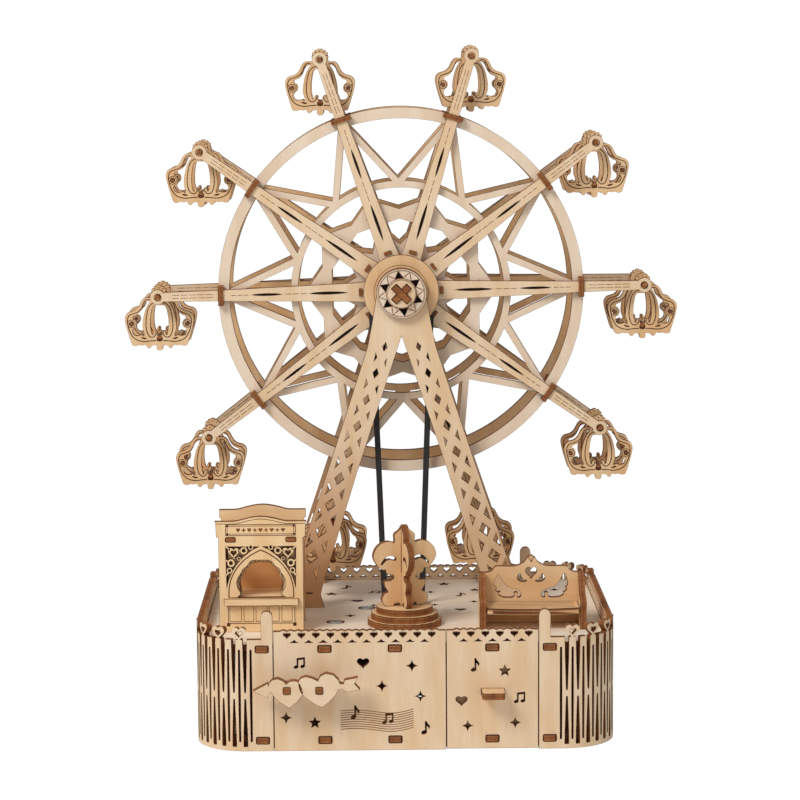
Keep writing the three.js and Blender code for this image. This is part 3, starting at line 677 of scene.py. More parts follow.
def bentWall(name, side, node):
    outline, gaps, fence = wallOutline()
    data = sheetArrays(outline, wallHoles(gaps, fence), ply, 0.08, 0.16, 90)
    mesh = sheetMesh(name, data, lambda p: p, 2.0 + side)
    sheet = bmesh.new()
    sheet.from_mesh(mesh)
    corners = [np.linspace(flatRun, flatRun + arcRun, 15),
               np.linspace(flatRun + arcRun + sideRun, wallRun - flatRun, 15)]
    for u in np.concatenate(corners):    # fold lines, so the long faces can follow the corner
        geometry = sheet.verts[:] + sheet.edges[:] + sheet.faces[:]
        bmesh.ops.bisect_plane(sheet, geom=geometry, dist=1e-7, plane_co=(u * mm, 0, 0), plane_no=(1, 0, 0))
    if side < 0:
        bmesh.ops.reverse_faces(sheet, faces=sheet.faces[:])
    bmesh.ops.triangulate(sheet, faces=[f for f in sheet.faces if len(f.verts) > 4])
    sheet.to_mesh(mesh)
    sheet.free()
    flat = np.empty(len(mesh.vertices) * 3)
    mesh.vertices.foreach_get("co", flat)
    mesh.vertices.foreach_set("co", (bend(side)(flat.reshape(-1, 3) / mm) * mm).ravel())
    # run, height and depth are a right-handed set only after the depth axis is turned inwards
    turnOver = bmesh.new()
    turnOver.from_mesh(mesh)
    bmesh.ops.reverse_faces(turnOver, faces=turnOver.faces[:])
    turnOver.to_mesh(mesh)
    turnOver.free()
    return addPiece(name, mesh, "base", [birchFace, cutEdge], node)


bentWall("right_wall_sheet", 1, "right_wall")
bentWall("left_wall_sheet", -1, "left_wall")
print("walls bent")

# Several sheets in one mesh.

def plateSet(name, sheets, place, body, kind="birch", replaces=None, grain=90.0, thickness=ply, halo=0.2,
             rim=0.08):
    # The same as plate, for several separate outlines that lie in one plane.
    mesh = sheetMesh(name, joinedData([sheetArrays(o, h, thickness, rim, halo, grain) for o, h in sheets]),
                     place, 1.7)
    face, slot = stocks[kind]
    return addPiece(name, mesh, body, [face, cutEdge], replaces)


# Deck, floor and what lies inside the box.

def deckOutline(node):    # rounded plate with tabs through the front and the back panel
    low = boxOf(node)[0]
    y, r = wallHigh[1] - 3.3, 21.0
    w = base["tab"][0] / 2
    right = wallHigh[0] - 3.3
    rows = [points((-right + r, -y))]
    for c in tabCentres:
        rows.append(points((c - w, -y), (c - w, low[1] + 0.6), (c - w + 0.5, low[1]), (c + w - 0.5, low[1]),
                           (c + w, low[1] + 0.6), (c + w, -y)))
    rows.append(arc(right - r, -y + r, r, -90, 0, 12))
    half = np.vstack(rows)
    return np.vstack([half, (half * (1, -1))[::-1], arc(-right + r, y - r, r, 90, 180, 12),
                      arc(-right + r, -y + r, r, 180, 270, 12)[:-1]])


screwBoxes = [boxOf(f"deck_screw_{k}") for k in (1, 2, 3)]
screwPlaces = [((low + high) / 2)[:2] for low, high in screwBoxes]
legX = (46.0, 56.0)
legY = [boxOf(n)[0][1] for n in ("front_legs", "back_legs")]
beltY = (boxOf("drive_belt")[0][1] + boxOf("drive_belt")[1][1]) / 2
deckCuts = [eighthNote(-28.4, 55, 8), star(-35.4, 38.2, 3.6), beamedNotes(-13.8, 42.1, 6),
            heart(-22.5, 20.9, 6, 5),
            sparkle(-25.6, -12.8, 3.0), sparkle(-14.4, 10.6, 2.4), star(21.1, 60.3, 3.6),
            sparkle(13.9, 40.8, 2.8),
            sparkle(15.3, 10.6, 2.4), eighthNote(28.4, 34.4, 8), star(36.2, 45.2, 3.2),
            sparkle(34.7, 17.2, 2.6),
            heart(27.5, -1.1, 5.6, 4.6), heart(-62, 40, 6, 5), star(-70, 22, 3.2), eighthNote(-75, 2, 8),
            heart(66, 36, 6, 5), star(74, 8, 3.2), eighthNote(64, 20, 8), sparkle(76, 44, 2.8),
            sparkle(-74, 50, 2.8)]
deckCuts += [circle(x, y, 4.3, 28) for x, y in screwPlaces]
deckCuts += [slab(min(s * a for a in legX) - 0.25, y - 0.25, max(s * a for a in legX) + 0.25, y + ply + 0.25,
                  0.4)
             for s in (-1, 1) for y in legY]
deckCuts += [slab(s * 9.0 - 2.1, beltY - 2.4, s * 9.0 + 2.1, beltY + 2.4, 0.6) for s in (-1, 1)]
plate("deck_sheet", deckOutline("deck_plate"), deckCuts, facingUp(deckTop), "base", kind="deck",
      replaces="deck_plate", grain=0)
# painted shade: dark strips just behind the front panels, above the deck, seen through the fence hearts
for tag, x0, x1 in (("left", -56.5, 14.5), ("right", 20.5, 58.5)):
    plate("fence_shadow_strip_" + tag, slab(x0, deckTop + 0.1, x1, 53.9, 0.3), [],
          facingFront(panelLow[1] + ply + 0.4), "base",
          kind="charred", grain=0, thickness=1.2)
plate("floor_sheet", deckOutline("base_floor"), [circle(-60, 0, 5), circle(60, 0, 5),
                                                 heart(0, 0, 26, 22, 40)],
      facingUp(floorHigh[2]), "base", replaces="base_floor", grain=0)



def footRing(gap):    # rounded rectangle that far inside the outer faces of the walls
    x, y = wallHigh[0] - gap, wallHigh[1] - gap
    return rounded(points((-x, -y), (x, -y), (x, y), (-x, y)), 1.17 * (cornerRadius - gap), 10)


plate("floor_foot", footRing(3.5), [footRing(7.0)], facingUp(floorLow[2] - 0.1), "base", kind="charred",
      grain=0,
      thickness=floorLow[2] - 0.5)
for side, tag in ((-1, "left"), (1, "right")):    # posts that join the front panels to the bent walls
    plate("seam_post_" + tag, slab(side * 70.6 - 4.5, floorHigh[2] + 0.1, side * 70.6 + 4.5,
                                   deckLow[2] + 0.8, 0.3), [],
          facingFront(panelLow[1] + 2 * ply), "base", kind="charred", thickness=2.0)
trayLow, trayHigh = boxOf("drawer_tray")
trayFinger = 6.0


def fingered(x0, x1, y0, y1, bite, pitch=trayFinger):    # side with box-joint fingers on its two upright ends
    z = np.arange(y0, y1 - 0.01, pitch / 2)
    left = [(x0 + (bite if i % 2 else 0), v) for i, a in enumerate(z) for v in (a, min(a + pitch / 2, y1))]
    right = [(x1 - (bite if i % 2 else 0), v) for i, a in enumerate(z) for v in (a, min(a + pitch / 2, y1))]
    return points(*(right + left[::-1]))


x0, y0, z0 = trayLow
x1, y1, z1 = trayHigh
plate("drawer_tray_bottom", points((x0, y0), (x1, y0), (x1, y1), (x0, y1)), [], facingUp(z0 + ply), "drawer",
      kind="basswood", replaces="drawer_tray", grain=0)
for tag, y in (("front", y0), ("back", y1 - ply)):
    plate("drawer_tray_" + tag, fingered(x0, x1, z0 + ply, z1, 0.0), [], facingFront(y), "drawer",
          kind="basswood")
for tag, x in (("left", x0), ("right", x1 - ply)):
    plate("drawer_tray_" + tag, points((y0 + ply, z0 + ply), (y1 - ply, z0 + ply), (y1 - ply, z1),
                                       (y0 + ply, z1)),
          [heart((y0 + y1) / 2, 24, 14, 12)], facingLeft(x), "drawer", kind="basswood")
print("deck and drawer cut")

# Start lever: heart and arrow on two pegs.

lever = {"y": leverNode[0][1], "thick": 4.4}
leverShape = (0, leverZ) + np.vstack([
    points((-69.2, 0.0), (-62.4, 3.6), (-62.2, 2.1)),
    points((-61.8, 3.8), (-60.4, 5.2), (-57.9, 5.6), (-55.6, 4.6), (-54.2, 3.1), (-52.6, 4.4),
           (-50.4, 4.6), (-48.9, 4.1), (-47.6, 5.8), (-45.4, 6.5), (-42.6, 5.8), (-39.9, 4.4),
           (-38.9, 6.6), (-36.4, 7.9), (-33.0, 7.2), (-30.6, 4.8), (-30.0, 3.1)),
    points((-28.4, 3.0), (-27.9, 4.8), (-21.8, 5.9), (-23.4, 3.0), (-20.9, 0.2), (-27.3, -0.9), (-28.9, 0.6),
           (-30.7, 0.4)),
    points((-32.0, -2.2), (-34.6, -5.0), (-38.0, -7.7), (-41.0, -6.6), (-44.5, -4.1), (-46.6, -2.2),
           (-49.6, -5.4),
           (-53.0, -7.9), (-56.4, -5.8), (-59.4, -3.2), (-61.3, -0.6), (-62.3, -1.8), (-62.6, -3.4))])
crescentCut = leaf(-48.6, leverZ + 3.6, -46.8, leverZ - 1.8, 0.9, 6)
pegHoles = [slab(c - 1.7, leverZ - 1.7, c + 1.7, leverZ + 1.7, 0.7) for c in pegX]
plate("lever_plate", leverShape, [crescentCut] + pegHoles, facingFront(lever["y"]), "start_lever",
      replaces="heart_arrow_lever", grain=20, thickness=lever["thick"])
plateSet("lever_pegs", [(slab(c - 1.6, leverZ - 1.6, c + 1.6, leverZ + 1.6, 0.6), []) for c in pegX],
         facingFront(lever["y"] - 0.4), "start_lever", kind="scorched", thickness=14.5)
plate("lever_carriage", slab(pegX[0] - 5, leverZ - 6, pegX[1] + 5, leverZ + 6, 1.0), [],
      facingFront(leverNode[1][1] - ply), "start_lever", kind="basswood", grain=0)
print("lever cut")

# A-frame legs.

hub = np.array(joints["wheel_spin"]["pos_m"]) / mm
legs = {"outer": [(11.9, 200.4), (14.2, 187), (16.4, 176), (26.2, 146), (36.1, 116), (45.6, 88), (52.2, 67.6),
                  (55.6, 58.5), (59.6, 52.4), (60.4, 49.0)],
        "inner": [(38.4, 49.0), (40.2, 55.0), (38.7, 61.5), (30.2, 88.5), (21.7, 116), (11.8, 146),
                  (1.8, 176),
                  (0.0, 181.5)],
        "step": (4.5, -12.75), "first": (8.1, 176.2)}
diamond = points((-1.35, 3.5), (-2.9, -0.6), (1.35, -3.5), (2.9, 0.4))
outerCut = points((5.6, -1.35), (8.2, -8.3), (4.1, -5.2))
innerCut = points((-3.6, -4.8), (-0.4, -7.1), (-1.8, -11.0))


def legCuts():    # a diamond at each step down the leg, with a triangle on either side half a step below it
    cuts = []
    step = np.array(legs["step"])
    for k in range(9):
        at = np.array(legs["first"]) + step * k
        grow, high = 0.38 + 0.075 * k, 0.6 + 0.05 * k
        cuts.append(diamond * (grow, high) + at)
        for shape, part, side in ((outerCut, 0.39, 4.2), (innerCut, 0.6, -4.6)):
            centre = at + step * part + (side * (0.66 + 0.042 * k), 0)
            cuts.append((shape - shape.mean(axis=0)) * (grow, high + 0.06) + centre)
    return [c for c in cuts if c[:, 1].min() > 61]


def legFrame(name, y):
    foot = points((legX[1], deckTop), (legX[1], deckTop - ply), (legX[0], deckTop - ply), (legX[0], deckTop))
    right = np.vstack([points(*legs["outer"]), foot, points(*legs["inner"])])
    left = (right[:-1] * (-1, 1))[::-1]
    crown = arc(0, hub[2], 12, 172, 8, 18)
    cuts = legCuts()
    holes = [circle(0, hub[2], 6.0)] + cuts + [c * (-1, 1) for c in cuts]
    dash = slab(44.0, 56.0, 47.0, 56.5, 0.2)
    plate(name + "_sheet", np.vstack([right, left, crown]), holes + [dash, dash * (-1, 1)], facingFront(y),
          "base",
          kind="leg", replaces=name)


legFrame("front_legs", legY[0])
legFrame("back_legs", legY[1])
print("legs cut")

# Wheel: pierced rim plates and ten-armed spoke plates.

firstPivot = np.array(joints["car_swing_01"]["pos_m"]) / mm - hub
wheel = {"phase": 1.0, "arms": 10, "pivot": math.hypot(firstPivot[0], firstPivot[2]),
         "rim": 88.1, "rimWidth": 5.3, "ring": 53.1, "ringWidth": 3.4,
         "star": 43.7, "starWidth": 4.5, "web": 3.0, "brace": 3.2,
         "hubTip": 33.8, "hubValley": 22.4}    # radii and widths in mm, phase in degrees
frontArmsY, backArmsY = boxOf("spokes_front")[0][1], boxOf("wheel_rim_back")[1][1]
frontRimY, backRimY = boxOf("wheel_rim_front")[0][1], boxOf("wheel_rim_back")[0][1]
hubX, hubZ = hub[0], hub[2]
armAngles = wheel["phase"] + 36.0 * np.arange(wheel["arms"])
axleHole = np.vstack([turned(points((5.2, -1.7), (5.2, 1.7), (1.7, 1.7)), 45 + 90 * k) for k in range(4)])


def polarPoints(*rows):    # radius, degrees and sideways offset in mm, to x and y
    return np.vstack([turned(points((r, side)), angle) for r, angle, side in rows])


def clipped(shape, normal, distance):    # keeps the part of a polygon where normal . p >= distance
    kept = []
    for p, q in zip(shape, np.roll(shape, -1, axis=0)):
        a, b = p @ normal - distance, q @ normal - distance
        if a >= 0:
            kept.append(p)
        if (a >= 0) != (b >= 0):
            kept.append(p + (q - p) * a / (a - b))
    return np.array(kept)


def line(p, q, side):    # unit normal and distance of the line p to q; side is a point on its positive side
    along = (q - p) / np.linalg.norm(q - p)
    normal = np.array([-along[1], along[0]])
    if normal @ (side - p) < 0:
        normal = -normal
    return normal, normal @ p


def clipBeside(shape, p, q, side, clear):    # cuts away everything closer than clear to the line p to q
    normal, distance = line(p, q, side)
    return clipped(shape, normal, distance + clear)


def rimCells():    # the openings between one arm and the next, and their mirror images
    low, mid, high = 0.0, 18.0, 36.0
    inner = wheel["rim"] - wheel["rimWidth"]
    ringIn = wheel["ring"] - wheel["ringWidth"]

    def at(r, degrees):
        return polarPoints((r, degrees, 0))[0]
    braceTop, braceFoot = at(wheel["rim"] - 2.6, low), at(wheel["ring"] - 1.2, mid)
    otherTop = at(wheel["rim"] - 2.6, high)
    clear = wheel["brace"] / 2
    big = np.vstack([arc(0, 0, inner, low, high, 20), (0, 0)])
    big = clipBeside(big, braceTop, braceFoot, at(inner, mid), clear)
    big = clipBeside(big, otherTop, braceFoot, at(inner, mid), clear)
    side = np.vstack([arc(0, 0, inner, low, 6, 5), arc(0, 0, wheel["ring"], mid, low, 8)])
    side = clipBeside(side, braceTop, braceFoot, at(60, 2), clear)
    side = clipBeside(side, at(0, 0), at(90, low), at(60, 9), wheel["web"])
    chordA = (at(wheel["star"], low), at(wheel["star"], 72))
    chordB = (at(wheel["star"], high), at(wheel["star"], -36))
    half = wheel["starWidth"] / 2
    far, near = at(200, mid), at(0, 0)
    upper = np.vstack([arc(0, 0, ringIn, low, high, 14), (0, 0)])
    upper = clipBeside(upper, *chordA, far, half)
    upper = clipBeside(upper, *chordB, far, half)
    upper = clipBeside(upper, near, at(90, low), far, wheel["web"])
    upper = clipBeside(upper, near, at(90, high), far, wheel["web"])
    corner = np.vstack([arc(0, 0, ringIn, low, mid, 3), (0, 0)])
    corner = clipBeside(corner, *chordA, near, half)
    corner = clipBeside(corner, *chordB, far, half)
    corner = clipBeside(corner, near, at(90, low), far, wheel["web"])
    belowB, distanceB = line(*chordB, near)
    hubEdge, distanceHub = line(at(wheel["hubTip"], low), at(wheel["hubValley"], mid), far)
    foot = np.linalg.solve(np.array([belowB, hubEdge]), np.array([distanceB + half, distanceHub]))
    middle = np.array([-at(1, mid)[1], at(1, mid)[0]])
    crossing = np.linalg.solve(np.array([belowB, middle]), np.array([distanceB + half, 0]))

    def flip(shape):    # mirror image across the middle of the sector
        return turned(turned(shape, -mid) * (1, -1), mid)[::-1]
    lower = np.vstack([at(wheel["hubValley"], mid), foot, crossing, flip(foot[None])])
    lower = clipBeside(lower, near, at(90, low), far, wheel["web"])
    lower = clipBeside(lower, near, at(90, high), far, wheel["web"])
    return [big, side, flip(side), upper, corner, flip(corner), lower]


cells = rimCells()
# the back rim's browner basswood finish is painted shade, for the shadow of the front rim on it
for name, y, kind in (("wheel_rim_front", frontRimY, "pale"), ("wheel_rim_back", backRimY, "basswood")):
    holes = [turned(cell, angle) for angle in armAngles for cell in cells] + [axleHole]
    plate(name + "_sheet", circle(0, 0, wheel["rim"], 200), holes, facingFront(y, hubX, hubZ), "wheel",
          kind=kind, replaces=name, halo=0.2, rim=0.08)


def armOutline():
    rows = []
    for angle in armAngles:
        rows.append((16.2, angle - 18, 0))
        rows += [(22.4, angle, -4.5), (82.8, angle, -2.75), (wheel["pivot"] - 3.4, angle, -2.2)]
        eye = arc(wheel["pivot"], 0, 3.6, -145, 145, 20)
        rows += [(x, angle, y) for x, y in eye]
        rows += [(wheel["pivot"] - 3.4, angle, 2.2), (82.8, angle, 2.75), (22.4, angle, 4.5)]
    return polarPoints(*rows)


def armPlate(name, y, tabs):
    holes = [axleHole]
    for angle in armAngles:
        holes += [turned(circle(wheel["pivot"], 0, 1.75, 16), angle),
                  turned(leaf(25.5, 0, 44.5, 0, 1.25, 9), angle),
                  turned(leaf(57, 0, 72.5, 0, 1.05, 9), angle)]
    plate(name + "_sheet", armOutline(), holes, facingFront(y, hubX, hubZ), "wheel", replaces=name, halo=0.22,
          rim=0.09)
    # painted shadow: near-black strips inside the arm slots, for the shade seen through them
    slotShadows = [(turned(leaf(24.5, 0, 45.5, 0, 2.4, 9), a), ()) for a in armAngles]
    slotShadows += [(turned(leaf(56, 0, 73.5, 0, 2.2, 9), a), ()) for a in armAngles]
    barePlate(name + "_slot_shadow", slotShadows, facingFront(y + 1.2, hubX, hubZ), "wheel", charAndShadow, 0.6)
    dashes = []
    for angle in armAngles:
        for start, stop in ((45.5, 56.5), (73.5, 82.5)):
            cuts = np.linspace(start, stop, 4)
            dashes += [turned(slab(a, -0.14, a + (stop - start) / 3 - 0.7, 0.14, 0.05), angle)
                       for a in cuts[:-1]]
        for side in (-0.75, 0.75):
            dashes += [turned(slab(a, side - 0.12, a + 3.4, side + 0.12, 0.05), angle)
                       for a in np.arange(90.5, 110, 4.1)]
    engrave(name + "_dashes", [(d, ()) for d in dashes], facingFront(y - 0.05, hubX, hubZ), "wheel")
    if tabs:
        plateSet(name + "_tabs", [(turned(slab(18.7, -1.85, 20.4, 1.85, 0.3), a), []) for a in armAngles],
                 facingFront(y - 0.8, hubX, hubZ), "wheel", kind="scorched", thickness=2.0)


armPlate("spokes_front", frontArmsY, True)
armPlate("spokes_back", backArmsY, False)
print("wheel plates cut")


def spacer(index, angle):    # cross bar between the rims: its forked ends straddle the arms
    node = f"rim_spacer_{index + 1:02d}"
    radius, thick = 85.6, 2.6
    reach = (frontArmsY - 0.9, backArmsY + ply + 0.9)
    wide, waist = 4.9, 4.0
    corner = points((waist, frontRimY + ply + 2.5), (wide, frontRimY + ply + 1.0), (wide, reach[0] + 0.4),
                    (wide - 0.4, reach[0]))
    middle = (reach[0] + reach[1]) / 2
    half = np.vstack([corner[::-1], (corner * (1, -1)) + (0, 2 * middle)])
    outline = np.vstack([half, (half * (-1, 1))[::-1]])
    c, s = math.cos(math.radians(angle)), math.sin(math.radians(angle))

    def place(p):
        out = radius + thick - p[:, 2]
        return np.c_[out * c - p[:, 0] * s + hubX, p[:, 1], out * s + p[:, 0] * c + hubZ]
    plate(node + "_bar", outline, [], place, "wheel", kind="scorched", replaces=node, thickness=thick)


for index, angle in enumerate(armAngles):
    spacer(index, angle)

# hub: flange with the belt groove behind it, cap with a ring of triangles, washer and crossed axle
capY = boxOf("hub_cap_front")[0][1] + ply
flangeY = boxOf("belt_pulley")[0][1]
capTriangles = [turned(points((7.3, -2.0), (10.8, 0), (7.3, 2.0)), 98 - 60 * k) for k in range(6)]
capPlace = facingFront(capY, hubX, hubZ)
plate("hub_cap_disc", circle(0, 0, 11.9, 72), capTriangles + [axleHole], capPlace, "wheel", kind="pale",
      replaces="hub_cap_front", grain=70)
# painted shadow: a near-black disc behind the cap, seen through its triangles
barePlate("hub_cap_shadow_disc", [(circle(0, 0, 11.3, 48), [axleHole])],
          facingFront(capY + ply - 0.35, hubX, hubZ), "wheel", charAndShadow, 0.3, rim=0.05)
plate("hub_washer", circle(0, 0, 6.7, 48), [axleHole], facingFront(capY - ply + 0.6, hubX, hubZ), "wheel",
      grain=60, thickness=2.4)
ringLines = [(circle(0, 0, 11.35, 64), [circle(0, 0, 11.1, 64)]),
             (circle(0, 0, 10.9, 64), [circle(0, 0, 10.72, 64)]),
             (circle(0, 0, 7.35, 48), [circle(0, 0, 7.1, 48)])]
for k in range(6):
    tip = 68 - 60 * k
    for side in (-1, 1):
        path = polarPoints((10.8, tip, 0), (9.0, tip, side * 1.0), (7.3, tip, side * 2.0))
        ringLines.append((ribbon(path, 0.24), ()))
        path = polarPoints((10.8, tip, 0), (9.0, tip + side * 9, 0), (7.3, tip + side * 16, 0))
        ringLines.append((ribbon(path, 0.2), ()))
engrave("hub_cap_lines", ringLines, facingFront(capY - 0.05, hubX, hubZ), "wheel")
plate("hub_flange", circle(0, 0, 18.0, 96), [axleHole], facingFront(flangeY, hubX, hubZ), "wheel",
      kind="basswood",
      replaces="belt_pulley", grain=80)
engrave("hub_flange_line", [(circle(0, 0, 13.2, 72), [circle(0, 0, 12.95, 72)])],
        facingFront(flangeY - 0.05, hubX, hubZ), "wheel")
plate("hub_groove", circle(0, 0, 13.0, 64), [axleHole], facingFront(flangeY + ply, hubX, hubZ), "wheel",
      kind="basswood", thickness=frontArmsY - flangeY - ply)
plate("hub_back_flange", circle(0, 0, 18.0, 96), [axleHole], facingFront(backArmsY + ply, hubX, hubZ),
      "wheel",
      kind="basswood")
plate("hub_back_spacer", circle(0, 0, 8.0, 48), [axleHole], facingFront(backArmsY + 2 * ply, hubX, hubZ),
      "wheel",
      kind="basswood", thickness=boxOf("spokes_back")[1][1] - backArmsY - 2 * ply)
plate("hub_back_cap", circle(0, 0, 11.9, 72), capTriangles + [axleHole],
      facingFront(boxOf("hub_cap_back")[0][1], hubX,
      hubZ), "wheel", replaces="hub_cap_back")
axleNode = boxOf("wheel_axle")
axleLength = axleNode[1][1] - axleNode[0][1]
for tag, tilt in (("rising", 45), ("falling", -45)):
    lift = 0.0 if tag == "falling" else 0.35
    plate("axle_" + tag, turned(slab(-5.0, -1.5, 5.0, 1.5, 0.35), tilt), [],
          facingFront(axleNode[0][1] + lift, hubX, hubZ), "wheel", kind="scorched",
          replaces="wheel_axle" if tag == "rising" else None, thickness=axleLength - 2 * lift)
print("hub turned")

# Cars: two crown-shaped plates with a floor, a keel and a hanging bar.

carHalf = points((0.0, 4.9), (0.5, 5.0), (1.0, 4.6), (1.3, 4.2), (1.8, 4.5), (2.4, 4.1), (2.5, 3.5),
                 (3.0, 3.4), (3.5, 2.9),
                 (3.3, 2.2), (3.7, 1.6), (3.6, 0.6), (3.5, -0.5), (4.3, -0.9), (6.0, -0.8), (7.3, -1.3),
                 (8.4, -2.6),
                 (9.3, -4.5), (10.4, -6.0), (12.0, -7.0), (13.9, -7.5), (15.2, -8.4), (15.9, -9.8),
                 (16.0, -11.5),
                 (15.4, -14.5), (14.4, -18.0), (13.3, -21.5), (12.6, -23.1), (10.9, -23.4), (9.5, -22.9),
                 (8.2, -23.2),
                 (6.5, -22.9), (6.1, -23.6), (5.3, -24.5), (4.4, -24.3), (3.9, -23.5), (2.6, -23.1),
                 (1.6, -23.2),
                 (1.5, -24.2), (1.3, -25.0), (0.6, -25.5), (0.0, -25.4))
lyreHalf = points((0.0, -4.4), (2.2, -4.5), (3.1, -5.4), (3.7, -7.5), (4.2, -11.5), (4.1, -15.5),
                  (3.4, -18.2),
                  (2.9, -17.6), (2.6, -16.7), (1.8, -16.4), (1.1, -17.0), (1.2, -18.0), (0.6, -18.6),
                  (0.0, -18.5))
kidney = points((4.2, -2.4), (6.3, -3.0), (7.5, -4.5), (8.6, -7.0), (10.2, -8.7), (12.2, -9.6), (12.0, -10.9),
                (11.2, -11.3), (10.6, -12.6), (10.9, -14.2), (12.0, -15.2), (12.6, -16.4), (11.9, -18.2),
                (10.0, -18.7), (8.3, -18.2), (7.4, -18.9), (7.0, -17.8), (7.8, -15.5), (7.7, -11.8),
                (6.6, -7.0),
                (5.2, -4.0))
carLens = points((6.0, -20.0), (7.4, -20.1), (8.6, -19.4), (7.2, -19.5))
lyreLine = points((1.3, -3.2), (3.2, -3.6), (4.8, -5.4), (5.6, -8.0), (6.2, -12.0), (6.1, -15.6),
                  (5.0, -18.6),
                  (3.2, -19.3), (1.9, -18.2), (1.6, -17.3), (2.0, -16.9))
rimLine = points((4.2, -1.9), (6.0, -1.9), (7.2, -3.4), (8.2, -5.8), (9.8, -7.4), (12.0, -8.3), (13.7, -8.9),
                 (14.7, -10.4), (14.8, -12.4), (14.1, -15.8), (12.6, -18.8), (10.6, -20.5), (7.4, -21.3),
                 (4.0, -21.0),
                 (1.6, -20.9))


carScale = 1.045


def twoSides(shape):
    return [shape, (shape * (-1, 1))[::-1]]


carOutline = mirrored(openCurve(carHalf, 2)[1:-1])
carHoles = [mirrored(openCurve(lyreHalf, 3)[1:-1]), slab(-1.3, -21.2, 1.3, -18.9 - 0.3, 0.9)]
carHoles += twoSides(smoothLoop(kidney, 3)) + twoSides(circle(13.0, -13.0, 1.15, 14))
carHoles += twoSides(smoothLoop(carLens, 3)) + [circle(0, 0, 1.3, 12)]
carLines = [(ribbon(side, 0.42), ()) for path in (lyreLine, rimLine) for side in twoSides(openCurve(path, 4))]
carLines += [(c, [h]) for c, h in zip(twoSides(circle(13.0, -13.0, 1.95, 18)),
                                      twoSides(circle(13.0, -13.0, 1.65, 18)))]
carLines += [(circle(x, y, 0.3, 8), ()) for x,
             y in polarPoints(*[(3.7, a, 0) for a in (30, 60, 90, 120, 150)])]
carOutline = carOutline * carScale
carHoles = [hole * carScale for hole in carHoles]
carLines = [(line * carScale, [hole * carScale for hole in holes]) for line, holes in carLines]


def placedCar(index):
    n = f"{index + 1:02d}"
    node, body = "cabin_" + n, "car_" + n
    at = np.array(joints["car_swing_" + n]["pos_m"]) / mm
    low, high = boxOf(node)
    front, back = frontArmsY + ply + 5.4, frontArmsY + 33.8
    for tag, y in (("front", front), ("back", back - ply)):
        plate(f"{node}_{tag}", carOutline, carHoles, facingFront(y, at[0], at[2]), body, kind="basswood",
              replaces=node if tag == "front" else None, halo=0.18, rim=0.07)
        engrave(f"{node}_{tag}_lines", carLines, facingFront(y - 0.05, at[0], at[2]), body,
                mark=sootMark)
    plate(node + "_floor", slab(-10.4, front + 0.8, 10.4, back - 0.8, 1.2), [],
          facingUp(at[2] - 19.6, at[0]), body, kind="basswood", thickness=2.4)
    plate(node + "_keel", slab(-1.1, -21.0, 1.1, -19.4, 0.5), [], facingFront(front - 0.5, at[0], at[2]),
          body,
          kind="scorched", thickness=back - front + 1.0)
    plate(node + "_bar", slab(-1.1, -1.1, 1.1, 1.1, 0.3), [], facingFront(low[1], at[0], at[2]), body,
          kind="scorched",
          thickness=high[1] - low[1])
    for side in (-1, 1):
        plateSet(f"{node}_rail_{'left' if side < 0 else 'right'}",
                 [(circle(side * 13.0 * carScale, -13.0 * carScale, 1.0, 12), ())],
                 facingFront(front - 0.3, at[0], at[2]), body, kind="charred", thickness=back - front + 0.6)


for index in range(wheel["arms"]):
    placedCar(index)
print("cars hung")

# Ticket booth.

boothLow = boxOf("booth_front")[0]
boothY, boothBackY = boothLow[1], boxOf("booth_back")[0][1]
boothMid = -66.6
boothTop = [(21.3, 99.9), (12.4, 99.9), (8.0, 100.9), (3.6, 101.9), (0.0, 102.25)]
boothOutline = mirrored(np.vstack([points((19.6, deckTop), (19.6, 91.6), (20.6, 92.0), (20.9, 99.2)),
                                   openCurve(points(*boothTop), 4)[:-1]])) + (boothMid, 0)


def atBooth(*rows):    # offsets from the booth's middle line to plate coordinates
    return points(*rows) + (boothMid, 0)


archHalf = openCurve(points((15.1, 64.4), (14.7, 69.9), (12.8, 75.0), (8.9, 80.0), (4.2, 83.4), (0.0, 85.4)),
                     5)
archOuterHalf = openCurve(points((16.1, 68.4), (14.9, 72.6), (12.3, 77.6), (8.6, 81.9), (4.0, 85.4),
                                 (0.6, 87.2)), 5)
spandrel = np.vstack([archOuterHalf, points((16.3, 87.2))])
curtainHalf = points((10.9, 64.6), (9.6, 66.2), (11.0, 68.8), (11.4, 71.4), (10.4, 73.8), (9.4, 75.0),
                     (8.4, 77.0),
                     (6.6, 78.2), (4.8, 80.4), (3.0, 80.9), (0.0, 80.9))
valanceHalf = points((9.4, 64.0), (8.8, 66.4), (9.6, 69.0), (9.6, 71.6), (8.6, 73.4), (8.4, 75.0),
                     (7.2, 76.2),
                     (6.4, 77.6), (5.4, 77.4), (4.6, 79.2), (3.6, 78.8), (2.8, 79.9), (1.8, 79.2),
                     (0.9, 80.0),
                     (0.0, 79.3))
window = mirrored(np.vstack([points((11.8, 64.3)), openCurve(curtainHalf, 3)[:-1]])) + (boothMid, 0)
boothTabs = [slab(boothMid + s * 14.0 - 2.4, 89.4, boothMid + s * 14.0 + 2.4, 91.9, 0.7) for s in (-1, 1)]


def both(shape):    # a right-hand shape and its mirror image, about the booth's middle line
    return [shape + (boothMid, 0), (shape * (-1, 1))[::-1] + (boothMid, 0)]


def atBoothY(y):    # stretches the drawn heights to the board's own: counter, window, sign and crest
    drawn = (0.0, 49.1, 52.6, 60.1, 64.3, 85.4, 91.0, 99.9, 104.0)
    risen = (0.0, 49.1, 53.0, 62.4, 65.3, 87.8, 93.0, 101.3, 105.2)
    return lambda p: np.c_[p[:, 0], p[:, 2] + y, np.interp(p[:, 1], drawn, risen)]


